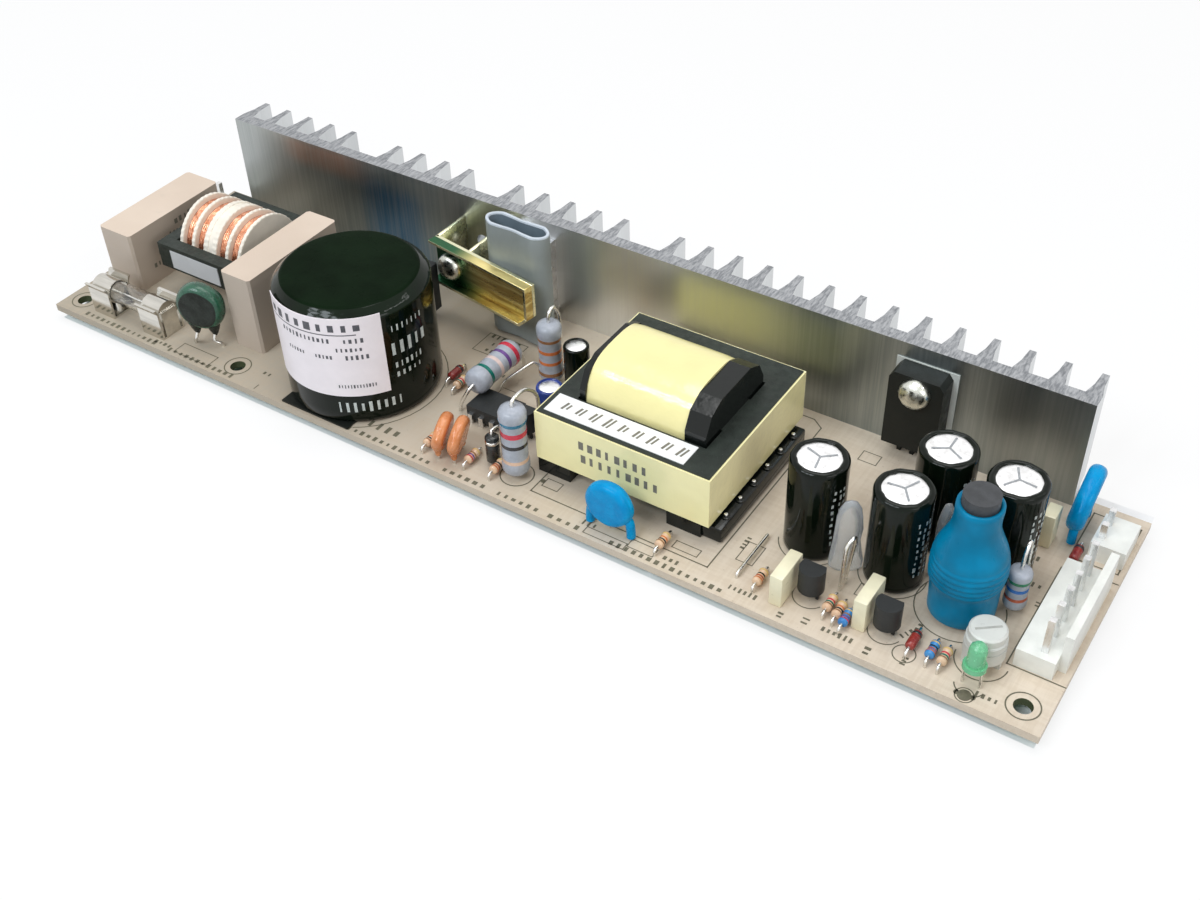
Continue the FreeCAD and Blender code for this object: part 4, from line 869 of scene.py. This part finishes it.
links = bmesh.new()
link_x = BOARD - 55.7
wire_into(links, [(link_x, 5.4, LEAD_END), (link_x, 5.4, 1.0), (link_x, 16.8, 1.0), (link_x, 16.8, LEAD_END)],
          0.3, 0.7)
wire_into(links, [(BOARD - 39.5, 11.9, LEAD_END), (BOARD - 39.2, 12.2, 10.2), (BOARD - 38.6, 13.6, 11.6),
                  (BOARD - 38.8, 14.9, 10.2), (BOARD - 39.5, 13.9, 0.4), (BOARD - 39.5, 13.9, LEAD_END)],
          0.36, 0.8)
piece("bare_wire_links", links, [tin_look], ("wire_links",), sharp=60)


# Disc capacitors and the inrush disc: a lens of lacquer that runs down its legs

def lacquer_disc(bm, centre, facing, radius, thickness, legs=(), edge=0):
    """A dipped disc whose flat axis is facing, with a drip down each leg (x, y, bottom, top)."""
    half = thickness / 2
    rim = half * 0.9
    profile = [(0, half)]
    for step in range(9):
        angle = math.pi / 2 * step / 8
        profile.append((radius - rim + rim * math.sin(angle), half * math.cos(angle) ** 0.8))
    profile += [(r, -h) for r, h in reversed(profile)]

    def uneven(angle, reach, height):
        around = Vector((math.cos(angle) * 1.3, math.sin(angle) * 1.3, centre.x * 40))
        return 0.05 * radius * noise.noise(around)

    rows = [edge if 5 < row < len(profile) - 4 else 0 for row in range(len(profile))]
    turn_profile(bm, profile, straight_frame(centre, facing), 40, rows, uneven)
    for x, y, bottom, top in legs:
        tall = top - bottom
        drip = [(0.34, 0), (0.62, 0.5), (thickness * 0.28, 1.6), (thickness * 0.40, tall), (0, tall + 1.0)]
        turn_profile(bm, drip, upright(x, y, bottom), 16)


disc_wires = bmesh.new()
dark = bmesh.new()
dark_turn = math.radians(-20)
dark_facing = Vector((math.sin(dark_turn), math.cos(dark_turn), 0))
dark_centre = spot(40.3, 5.4, 9.7) + dark_facing * 1.9 * MM
lacquer_disc(dark, dark_centre, dark_facing, 5.25, 3.9, ((37.9, 6.2, 2.8, 5.8), (41.6, 7.6, 2.8, 5.8)), 1)
piece("inrush_disc", dark, [disc_dark_look, disc_edge_look], ("thermistor",), sharp=70)
for x, y, inner_x, inner_y in ((36.9, 6.1, 37.9, 6.2), (42.7, 8.2, 41.6, 7.6)):
    wire_into(disc_wires, [(inner_x, inner_y, 3.6), (inner_x, inner_y - 0.9, 1.6), (x, y - 0.4, 0.9),
                           (x, y, LEAD_END)], 0.36)

orange = bmesh.new()
for x, y, z in ((103.2, 5.4, 5.0), (106.6, 5.9, 5.2)):
    feet = ((x + 0.2, y - 2.2), (x - 1, y + 2))
    drips = [(*foot, 0.9, 2.6) for foot in feet]
    lacquer_disc(orange, spot(x, y, z), (0.92, 0.3, -0.25), 3.95, 2.3, drips)
    for foot in feet:
        wire_into(disc_wires, [(*foot, 1.6), (*foot, LEAD_END)], 0.28)
piece("orange_discs", orange, [disc_orange_look], ("orange_disc_capacitors",), sharp=70)

blue = bmesh.new()
lacquer_disc(blue, spot(141.4, 4.1, 6.2), ACROSS, 4.75, 2.9)
for side, x in ((-1, 137.2), (1, 145.8)):
    shoulder = (141.4 + side * 3.2, 4.1, 4.9)
    wire_into(blue, [shoulder, (x - side * 0.2, 4.1, 3.6), (x, 4.1, 1.4), (x, 4.1, 0.4)], 0.85, 1.4, 16)
    wire_into(disc_wires, [(x, 4.1, 1.0), (x, 4.1, LEAD_END)], 0.34)
far_x = BOARD - 10.4
lacquer_disc(blue, spot(far_x, 47, 7.6), (1, 0.06, -0.12), 6.1, 3.2)
for y in (43, 51):
    wire_into(blue, [(far_x, 47 + (y - 47) * 0.75, 4.6), (far_x, y, 2.8), (far_x, y, 0.4)], 0.8, 1.4, 16)
    wire_into(disc_wires, [(far_x, y, 1.0), (far_x, y, LEAD_END)], 0.34)
piece("blue_discs", blue, [disc_blue_look], ("blue_disc_capacitors",), sharp=70)
piece("disc_wires", disc_wires, [tin_look], sharp=60)

# Film capacitors: small moulded boxes with rounded edges

films = bmesh.new()
for x, y, long, deep, tall in (
    (BOARD - 48.4, 3, 2.4, 7.5, 6.6), (BOARD - 34.25, 5.2, 2.4, 7.5, 6.6),
    (BOARD - 15.4, 39.6, 2.3, 3.9, 7.2),
):
    box_into(films, (x, y, 0), (x + long, y + deep, tall), 0.22)
piece("film_boxes", films, [film_look], ("film_capacitors",))


# Electrolytic cans in shrink sleeves that curl over the rim

def sleeve_profile(radius, top, shoulder, inner):
    """Sleeved can side, rolled shoulder, and the sleeve's edge lying on the lid."""
    points = [(radius - 0.9, 0), (radius - 0.25, 0.15), (radius, 0.8), (radius, 2.0),
              (radius, top - shoulder * 1.6), (radius, top - shoulder)]
    for step in range(1, 9):
        angle = math.pi / 2 * step / 8
        drawn_in = shoulder * (1 - math.cos(angle))
        points.append((radius - drawn_in, top - shoulder + shoulder * math.sin(angle)))
    return points + [(inner + 0.35, top - 0.05), (inner + 0.1, top - 0.18), (inner, top - 0.45)]


def big_waves(angle, radius, height):
    """Small wrinkles on the shoulder, slow waves on the side."""
    if height > 25.2 and radius > 11.5:
        return 0.07 * noise.noise(Vector((math.cos(angle) * 4, math.sin(angle) * 4, height * 0.6)))
    return 0.03 * noise.noise(Vector((math.cos(angle) * 1.2, math.sin(angle) * 1.2, height * 0.08)))


big = bmesh.new()
BIG_RADIUS = 15.38
big_profile = [(14.5, 0.4), (15.15, 0.55), (BIG_RADIUS, 1.2), (BIG_RADIUS, 3.0), (BIG_RADIUS, 14.0),
               (BIG_RADIUS, 23.7)]
big_rows = [0] * 5
SHOULDER_STEPS = 24
SHOULDER_LENGTH = 3.7
for step in range(SHOULDER_STEPS):
    bend = 2 * (step + 0.5) / SHOULDER_STEPS - 1
    slope = math.radians(46.5 + 43.5 * bend ** 3)
    radius, height = big_profile[-1]
    run = SHOULDER_LENGTH / SHOULDER_STEPS
    big_profile.append((radius - run * math.sin(slope), height + run * math.cos(slope)))
    big_rows.append(1 if step < SHOULDER_STEPS - 5 else 2)
crown = big_profile[-1][1]
big_profile += [(10.0, crown + 0.01), (5.0, crown + 0.02), (0, crown + 0.02)]
big_rows += [2] * 4
turn_profile(big, big_profile, upright(*big_can_place), 128, big_rows, big_waves)
piece("bulk_can", big, [sleeve_black, shoulder_look, flat_top_look],
      ("bulk_capacitor",), sharp=70)

cans = bmesh.new()
lids = bmesh.new()
scores = bmesh.new()
for count, (x, y) in enumerate(can_places):
    def curl(angle, radius, height, seed=count * 3.1):
        if height > 18.8 and radius < 5.0:
            return 0.22 * noise.noise(Vector((math.cos(angle) * 2.6, math.sin(angle) * 2.6, seed)))
        return 0.0

    turn_profile(cans, sleeve_profile(5.14, 20, 0.85, 3.8), upright(x, y), 64, 0, curl)
    turn_profile(lids, [(4.35, 19.5), (4.1, 19.62), (3.2, 19.74), (0, 19.8)], upright(x, y), 48)
    for arm in range(3):
        angle = 40 + 25 * count + 120 * arm
        reach_x = 1.55 * math.cos(math.radians(angle))
        reach_y = 1.55 * math.sin(math.radians(angle))
        bar_into(scores, x + reach_x, y + reach_y, 3.0, 0.38, angle, 0.0, 19.83)
piece("output_can_sleeves", cans, [sleeve_black], ("output_capacitors",), sharp=70)
piece("output_can_lids", lids, [lid_look], ("output_capacitor_tops",), sharp=70)
score_look = plain_ink("score_shadow", (0.30, 0.31, 0.32), 0.5)
piece("output_can_scores", scores, [score_look])

little = bmesh.new()
for look, (x, y) in enumerate(((117, 21.2), (114.2, 34.4))):
    turn_profile(little, sleeve_profile(2.58, 11, 0.45, 2.0), upright(x, y), 40, look)
    turn_profile(little, [(2.1, 10.6), (1.9, 10.72), (0, 10.8)], upright(x, y), 32, 2)
piece("little_cans", little, [sleeve_navy, sleeve_black, lid_look],
      ("small_electrolytics",), sharp=70)


# The rod choke: blue shrink sleeve drawn over its turns

def shrink_waves(angle, radius, height):
    return 0.16 * noise.noise(Vector((math.cos(angle) * 1.1, math.sin(angle) * 1.1, height * 0.22)))


rod = bmesh.new()
rod_profile = [(5.0, 1.2), (5.5, 0.9), (5.7, 1.3), (5.72, 3.0), (5.75, 5.0), (5.82, 7.0)]
TURNS_FOOT = 8.0
for step in range(28):
    height = TURNS_FOOT + step * 0.2
    swell = 6.05 + 0.25 * math.sin(math.pi * (height - TURNS_FOOT) / 5.6)
    rod_profile.append((swell + 0.09 * math.sin((height - TURNS_FOOT) * 2 * math.pi / 1.12), height))
rod_profile += [(6.05, 13.9), (5.6, 15.2), (4.95, 16.6), (4.35, 18.0), (4.0, 19.2), (3.85, 20.4),
                (3.82, 21.6), (3.9, 23.0), (3.86, 24.0), (3.6, 24.15), (3.2, 24.05), (3.12, 23.2)]
turn_profile(rod, rod_profile, upright(*rod_place), 72, 0, shrink_waves)
piece("rod_choke_sleeve", rod, [shrink_blue], ("rod_sleeve",), sharp=70)

# Clear lumps of staking compound

stakes = bmesh.new()
drop = [(0, 0.02), (1.0, 0.1), (1.45, 0.8), (1.5, 2.4), (1.3, 4.6), (1.15, 7.0), (1.15, 9.6), (1.1, 12.2),
        (0.9, 14.2), (0.5, 15.6), (0, 16.0)]
stake_plan = ((BOARD - 41.1, 17.0, 2.0, 28), (BOARD - 27.3, 24.6, 1.4, 60))
for number, (x, y, broad, turned) in enumerate(stake_plan):
    def melt(angle, radius, height, seed=number * 7.3):
        return 0.16 * noise.noise(Vector((math.cos(angle), math.sin(angle), height * 0.25 + seed)))

    where = upright(x, y) @ Matrix.Rotation(math.radians(turned), 4, "Z")
    turn_profile(stakes, drop, where @ Matrix.Diagonal((broad, 0.75, 1.0, 1.0)), 40, 0, melt)
piece("staking_blobs", stakes, [stake_look], ("staking_lumps",), sharp=80)


# Wound coils of the mains choke, five turns on each, and the toothed rims of its spool

def teeth(angle, radius, height):
    return 0.055 * math.sin(angle * 44) if radius > 8.9 else 0.0


coils = bmesh.new()
RIM_WIDTH = 0.9
COIL_WIDTH = 2.55
spool_start = 17.8 + 3 + 0.4
spool_length = 24.4 - 6 - 0.8
coil_step = RIM_WIDTH + COIL_WIDTH
far_coils = spool_length - coil_step * 2
spool_axis = straight_frame(spot(spool_start, 28.7, 9.7), (1, 0, 0))
for offset in (RIM_WIDTH, coil_step + RIM_WIDTH, far_coils, far_coils + coil_step):
    def loose(angle, radius, height, seed=offset):
        around = Vector((math.cos(angle) * 2.0, math.sin(angle) * 2.0, height * 1.3 + seed))
        return 0.14 * noise.noise(around)

    profile = [(5.0, offset)]
    for turn in range(5):
        for part in range(5):
            angle = math.pi * part / 4
            along = offset + 0.51 * turn + 0.255 * (1 - math.cos(angle))
            profile.append((7.62 + 0.26 * math.sin(angle), along))
    profile.append((5.0, offset + COIL_WIDTH))
    turn_profile(coils, profile, spool_axis, 72, 0, loose)
rims = bmesh.new()
far_rim = far_coils + COIL_WIDTH
for low_edge, high_edge in (
    (0.0, RIM_WIDTH), (coil_step, coil_step + RIM_WIDTH), (coil_step * 2, coil_step * 2 + 1.4),
    (far_coils - 1.4, far_coils), (far_rim, far_rim + RIM_WIDTH), (spool_length - RIM_WIDTH, spool_length),
):
    profile = [(8.6, low_edge), (8.95, low_edge + 0.08), (8.95, high_edge - 0.08), (8.6, high_edge)]
    turn_profile(rims, profile, spool_axis, 264, 0, teeth)
piece("spool_rims", rims, [spool_look], sharp=30)
piece("wound_coils", coils, [coil_look], ("choke_windings",), sharp=80)


# Transformer winding: the taped hump over the centre leg

hump = bmesh.new()
hump_x = 122.5 + 4.4 + 1.2 + 0.3
hump_long = 35.6 - 8.8 - 1.2 - 4.3 - 0.6
hump_y = 9.6 + 17.4
section = [(10.3, 2.4)]
for step in range(33):
    angle = math.pi * step / 32
    side = math.cos(angle)
    rise = math.sin(angle)
    section.append((10.3 * math.copysign(abs(side) ** 0.62, side), 11.0 + 12.0 * rise ** 0.62))
section.append((-10.3, 2.4))
rings = []
for column in range(13):
    x = hump_x + hump_long * column / 12
    edge = 0.16 if column in (0, 12) else 0.0
    ring = []
    for y, z in section:
        sag = 0.12 * noise.noise(Vector((x * 0.22, y * 0.2, z * 0.2)))
        place = spot(x, hump_y + y * (1 - edge * 0.04), z + (sag - edge) * (z > 11))
        ring.append(hump.verts.new(place))
    rings.append(ring)
for low, high in zip(rings, rings[1:]):
    stitch(hump, low, high)
hump.faces.new(rings[0])
hump.faces.new(rings[-1])
piece("winding_wrap", hump, [wrap_look], ("transformer_winding",), sharp=50)


# Pinched grey sleeve over the switching transistor

tube = bmesh.new()


def tube_ring(width, depth, z):
    """One loop of the flat tube, pinched a little at its middle."""
    ring = []
    for step in range(64):
        angle = 2 * math.pi * step / 64
        along = math.cos(angle)
        across = math.sin(angle)
        x = (width / 2 - depth / 2) * max(-1.0, min(1.0, 1.6 * along))
        x += depth / 2 * math.copysign(max(0.0, abs(along) - 0.625) / 0.375, along)
        y = depth / 2 * math.copysign(min(1.0, abs(across) / 0.78), across)
        y *= 1 - 0.16 * math.exp(-(x / 2.6) ** 2)
        ring.append(tube.verts.new(spot(94.3 + x, 44.2 + y - 0.045 * x, z)))
    return ring


loops = [tube_ring(15.4, 5.1, z) for z in (0.6, 8, 16, 22, 26.2)]
loops += [tube_ring(15.2, 4.9, 26.5), tube_ring(14.1, 3.8, 26.5)]
loops += [tube_ring(13.8, 3.5, z) for z in (26.2, 4.0)]
# outer walls take the grey rubber, the rim its painted highlight, the inside its painted shade
for number, (low, high) in enumerate(zip(loops, loops[1:])):
    stitch(tube, low, high, 0 if number < 4 else 1 if number < 7 else 2)
piece("pinched_sleeve", tube, [tube_look, tube_lit_rim_look, tube_shaded_inside_look],
      ("transistor_sleeve",), sharp=50)


# Clamp bar: a channel open towards the near edge, one corner cut off, two heels behind it

bar = bmesh.new()
BAR_LEAN = math.radians(9.4)
BAR_THICKNESS = 0.8
LIP_DEPTH = 2.0


def leaned(along, behind, up):
    """A place on the leaning bar, from the lower left corner of its web."""
    x = 73.7 + along * math.cos(BAR_LEAN) + behind * math.sin(BAR_LEAN)
    y = 42.85 - along * math.sin(BAR_LEAN) + behind * math.cos(BAR_LEAN)
    return spot(x, y, 8 + up)


def plate_into(outline, near, far, face_look, side_look):
    """A flat plate of the bar, its outline given as (along, up)."""
    front = [bar.verts.new(leaned(along, near, up)) for along, up in outline]
    back = [bar.verts.new(leaned(along, far, up)) for along, up in outline]
    bar.faces.new(front).material_index = face_look
    bar.faces.new(back).material_index = side_look
    stitch(bar, front, back, side_look)


plate_into([(0, 0), (25.6, 0), (28, 2.4), (28, 10), (0, 10)], 0, BAR_THICKNESS, 1, 0)
for outline in (
    [(0, 0), (25.6, 0), (25.35, 0.65), (0, 0.65)],
    [(25.6, 0), (28, 2.4), (27.35, 2.65), (25.35, 0.65)],
    [(27.35, 2.65), (28, 2.4), (28, 10), (27.35, 9.35)],
    [(0, 9.35), (27.35, 9.35), (28, 10), (0, 10)],
):
    plate_into(outline, -LIP_DEPTH, 0, 0, 1)
for heel_x, heel_y in ((73.7, 42.9), (82.9, 41.9)):
    box_into(bar, (heel_x, heel_y, 8), (heel_x + BAR_THICKNESS, 52.35, 18), 0.12)
channel = piece("clamp_channel", bar, [zinc_look, web_look], ("clamp_bracket",), sharp=30)
rounding = channel.modifiers.new("edges", "BEVEL")
rounding.width = 0.15 * MM
rounding.segments = 2
rounding.limit_method = "ANGLE"


# Pin rail of the transformer that shows beyond the core

rail = bmesh.new()
box_into(rail, (155.9, 10.9, 0.15), (160.1, 43.1, 3.5), 0.45)
for index in range(6):
    where = upright(159.1, 27 + 5.1 * (index - 2.5))
    turn_profile(rail, [(0.85, 3.3), (0.8, 3.75), (0.5, 3.85), (0, 3.85)], where, 16)
    turn_profile(rail, [(0.36, 3.8), (0.36, 4.3), (0, 4.4)], where, 12, 1)
piece("pin_rail", rail, [bobbin_look, pin_look])


# Soldered joints: bright cones round the clipped lead ends, found from the solids' own joints

linked = bmesh.new()
linked.from_mesh(solids["solder_joints"].data)
centres = {}
waiting = set(linked.verts)
while waiting:
    stack = [next(iter(waiting))]
    island = set()
    while stack:
        vert = stack.pop()
        if vert not in island:
            island.add(vert)
            stack.extend(edge.other_vert(vert) for edge in vert.link_edges)
    waiting -= island
    xs = [vert.co.x for vert in island]
    ys = [vert.co.y for vert in island]
    key = (round((min(xs) + max(xs)) * 500, 1), round((min(ys) + max(ys)) * 500, 1))
    reach = max(max(xs) - min(xs), max(ys) - min(ys)) * 500
    centres[key] = max(reach, centres.get(key, 0.0))
linked.free()
joints = bmesh.new()
for (x, y), reach in sorted(centres.items()):
    cone = [(0, 0), (reach * 0.34, 0), (reach * 0.40, 0.12), (reach * 0.44, 0.9), (reach * 0.6, 1.45),
            (reach * 0.98, 1.9), (reach, 2.0), (0, 2.0)]
    turn_profile(joints, cone, straight_frame(Vector((x, y, 0)) * MM, UP), 12)
piece("solder_cones", joints, [solder_look], ("solder_joints",), sharp=60)


# Screws: pan heads with a cross recess

screws = bmesh.new()


def pan_head(x, y, z):
    """A domed head facing the open edge, with its dark cross."""
    where = straight_frame(spot(x, y, z), (0, -1, 0))
    dome = [(2.95, -0.1), (2.95, 0.5), (2.8, 1.1), (2.4, 1.6), (1.7, 2.0), (0.9, 2.15), (0, 2.18)]
    turn_profile(screws, dome, where, 40)
    for wide, tall in ((1.75, 0.36), (0.36, 1.75)):
        corners = []
        for u, v in ((-wide, -tall), (wide, -tall), (wide, tall), (-wide, tall)):
            place = Vector((u, v, 2.2 - 0.06 * (u * u + v * v)))
            corners.append(screws.verts.new(where @ (place * MM)))
        screws.faces.new(corners).material_index = 1


slot_look = plain_ink("recess_shadow", (0.06, 0.055, 0.04), 0.5)
pan_head(BOARD - 48.8 + 5.2, 52.4 - 0.2 - 4.5, 16.4)
pan_head(73.7 + 4.8, 44.2 - 2.55 + 1.2 - 1.4, 8 + 5)
piece("screw_heads", screws, [steel_look, slot_look], ("rectifier_screw", "clamp_screw"), sharp=50)


# Plain bars on the labels and cans

def curved_bar(bm, centre, radius, angle, width, z, height, steps):
    """A printed bar wrapped on an upright can."""
    low = []
    high = []
    for step in range(steps + 1):
        turn = math.radians(angle) + (step / steps - 0.5) * width / radius
        x = centre[0] + radius * math.cos(turn)
        y = centre[1] + radius * math.sin(turn)
        low.append(bm.verts.new(spot(x, y, z - height / 2)))
        high.append(bm.verts.new(spot(x, y, z + height / 2)))
    for step in range(steps):
        bm.faces.new((low[step], low[step + 1], high[step + 1], high[step]))


def bars_round(bm, radius, arc, narrow, wide, rows):
    """Rows of bars round the big can, each row as (up, start, stop, height, bars)."""
    for up, start, stop, height, bars in rows:
        span = (stop - start) / bars
        for index in range(bars):
            width = math.radians(span) * arc * chance.uniform(narrow, wide)
            tall = height * chance.uniform(0.7, 1.0)
            curved_bar(bm, big_can_place, radius, start + span * (index + 0.5), width, up, tall, 2)


marks = bmesh.new()
LABEL_RADIUS = 15.4 + 0.15 + INK_LIFT
bars_round(marks, LABEL_RADIUS, 15.5, 0.3, 0.62, (
    (22.9, -122, -42, 1.9, 9), (20.0, -108, -66, 1.1, 12), (20.0, -58, -42, 1.1, 4),
    (18.0, -64, -44, 0.9, 6), (16.2, -104, -88, 1.0, 6), (16.2, -80, -66, 1.0, 5),
    (16.2, -58, -40, 1.1, 5), (9.4, -66, -38, 0.9, 13),
))
curved_bar(marks, big_can_place, LABEL_RADIUS, -84, 20.0, 21.4, 0.22, 16)
piece("label_bars", marks, [label_ink])

pale = bmesh.new()
bars_round(pale, 15.46, 15.4, 0.2, 0.5, (
    (20.6, -24, 6, 1.6, 7), (16.0, -26, 8, 3.2, 5), (12.2, -24, 2, 1.4, 6), (10.0, -24, 0, 1.2, 5),
    (4.2, -70, -20, 2.6, 9),
))
for place in can_places:
    for row in range(9):
        for angle in (-32, -18, -6):
            curved_bar(pale, place, 5.2, angle + chance.uniform(-2, 2), chance.uniform(0.25, 0.6),
                       4.0 + row * 1.45, chance.uniform(0.5, 1.1), 1)
piece("can_bars", pale, [can_ink])

strip_marks = bmesh.new()
STRIP_TOP = 4.5 + 11 + 0.15
for index in range(9):
    x = 126.4 + 3.0 * index
    bar_into(strip_marks, x, 13.1, 0.5, chance.uniform(1.9, 2.8), -12, INK_LIFT, STRIP_TOP)
    bar_into(strip_marks, x + 0.85, 13.1, 0.4, chance.uniform(1.4, 2.8), -12, INK_LIFT, STRIP_TOP)
TAPE_FACE = 9.6 - 0.35 - INK_LIFT
for row, (z, bars) in enumerate(((11.6, 8), (8.6, 9))):
    for index in range(bars):
        x = 131.6 + 1.9 * index + row * 0.4
        end = x + chance.uniform(0.5, 1.2)
        quad = [(x, z - 0.9), (end, z - 0.9), (end, z + 0.9), (x, z + 0.9)]
        strip_marks.faces.new([strip_marks.verts.new(spot(u, TAPE_FACE, v)) for u, v in quad])
BOX_FACE = 13.13
for row_z, tick_y, last_y in ((10.6, 26.0, 36.0), (8.4, 24.0, 33.0), (6.0, 20.0, 31.0), (3.6, 18.0, 27.0)):
    while tick_y < last_y:
        wide = chance.uniform(0.35, 0.9)
        top = row_z + chance.uniform(0.8, 1.5)
        quad = [(tick_y, row_z), (tick_y + wide, row_z), (tick_y + wide, top), (tick_y, top)]
        strip_marks.faces.new([strip_marks.verts.new(spot(BOX_FACE, y, z)) for y, z in quad])
        tick_y += wide + chance.uniform(0.4, 0.8)
piece("strip_bars", strip_marks, [strip_ink])


# The trimmer's knob has a slot; the lamp has its cup and posts inside

slots = bmesh.new()
bar_into(slots, *trimmer_place, 4.4, 0.45, 38, 0.02, 4.6 + 3.2)
knob_slot_look = plain_ink("slot_shadow", (0.34, 0.34, 0.31), 0.6)
piece("knob_slot", slots, [knob_slot_look], body="knob")

cup = bmesh.new()
lamp_x, lamp_y = lamp_place
for offset, steps, profile in (
    (-0.4, 16, [(0, 0.4), (0.7, 0.4), (0.75, 1.5), (0.5, 2.4), (0, 2.5)]),
    (0.7, 12, [(0, 0.4), (0.3, 0.4), (0.3, 2.2), (0, 2.3)]),
):
    turn_profile(cup, profile, straight_frame(spot(lamp_x + offset, lamp_y, 4.2), (0, 0.1, 1)), steps)
piece("lamp_inside", cup, [tin_look])
stalks = bmesh.new()
for offset in (-1.27, 1.27):
    foot_x = lamp_x + offset * 1.15
    wire_into(stalks, [(lamp_x + offset, lamp_y, 4.4), (foot_x, 4.2, 2.0), (foot_x, 4.2, LEAD_END)],
              0.27, 1.2, 8)
piece("lamp_stalks", stalks, [tin_look], ("indicator_leads",), sharp=60)


# Floor, light and camera

floor = bpy.data.meshes.new("floor")
reach = 4.0
corners = [(-reach, -reach, 0), (reach, -reach, 0), (reach, reach, 0), (-reach, reach, 0)]
floor.from_pydata(corners, [], [(0, 1, 2, 3)])
ground = bpy.data.objects.new("floor", floor)
bpy.context.scene.collection.objects.link(ground)
floor_look = bpy.data.materials.new("studio_floor")
floor.materials.append(floor_look)

# the floor glows white for the rays that look at it, except under the board, and keeps its shadow
paint = Graph(floor_look)
seen = paint.background_rays()
parts = paint.node("SeparateXYZ", {}, (paint.node("NewGeometry", {}, (), "Position"),))
beyond_x = abs(parts) > 0.1105
beyond_y = abs(Value(paint, parts.socket.node.outputs[1])) > 0.0303
matte = paint.node("BsdfDiffuse", {}, (paint.blend(seen, (0.55, 0.55, 0.55), (0.95, 0.95, 0.95)),))
glow = paint.node("Emission", {}, ((1, 1, 1, 1),))
share = seen * beyond_x.largest(beyond_y) * 0.8
paint.show(paint.node("MixShader", {}, (share, matte, glow)))

world = bpy.data.worlds.new("studio")
bpy.context.scene.world = world
sky = Graph(world)
ambient = sky.node("Background", {}, ((0.97, 0.98, 1.0, 1), 0.27))
white = sky.node("Background", {}, ((1, 1, 1, 1), 1.0))
sky.show(sky.node("MixShader", {}, (sky.background_rays(), ambient, white)), "OutputWorld")


def lamp(name, place, target, wide, tall, watts, colour=(1, 1, 1)):
    """A soft rectangular lamp that faces its target."""
    light = bpy.data.lights.new(name, "AREA")
    light.shape = "RECTANGLE"
    light.size = wide
    light.size_y = tall
    light.energy = watts
    light.color = colour
    holder = bpy.data.objects.new(name, light)
    bpy.context.scene.collection.objects.link(holder)
    holder.location = place
    holder.rotation_mode = "QUATERNION"
    holder.rotation_quaternion = (Vector(target) - Vector(place)).to_track_quat("-Z", "Y")


lamp("overhead", (0.0, 0.1, 0.85), (0, 0, 0), 0.6, 0.45, 3.1)
lamp("right_fill", (0.8, -0.3, 0.4), (0.02, 0, 0.01), 0.5, 0.35, 1.7)
window_centre = Vector((-0.165, -0.58, 0.64))
window_aim = (Vector((-0.036, -0.015, 0.02)) - window_centre).normalized()
window_side = window_aim.cross(Vector((0, 0, 1))).normalized()
window_up = window_side.cross(window_aim)
for column in range(3):
    for row in range(2):
        pane = window_centre + window_side * 0.185 * (column - 1) + window_up * 0.165 * (row - 0.5)
        lamp("window_pane", pane, pane + window_aim, 0.135, 0.12, 0.72, (0.86, 0.93, 1.0))
for step in range(7):
    lamp("ceiling_tube", (0.55, 0.02 + 0.09 * step, 0.62), (0, 0, 0), 0.06, 0.018, 0.07)

camera_data = bpy.data.cameras.new("camera")
camera_data.sensor_width = 36.0
camera_data.lens = 43.40
camera_data.clip_start = 0.01
camera_data.clip_end = 20
camera = bpy.data.objects.new("camera", camera_data)
bpy.context.scene.collection.objects.link(camera)
camera.matrix_world = Matrix((
    (0.836722, -0.340913, 0.428572, 0.13448),
    (0.546932, 0.559631, -0.622638, -0.18025),
    (-0.027577, 0.755375, 0.654712, 0.18298),
    (0, 0, 0, 1),
))
bpy.context.scene.camera = camera
bpy.context.scene.view_settings.view_transform = "Standard"
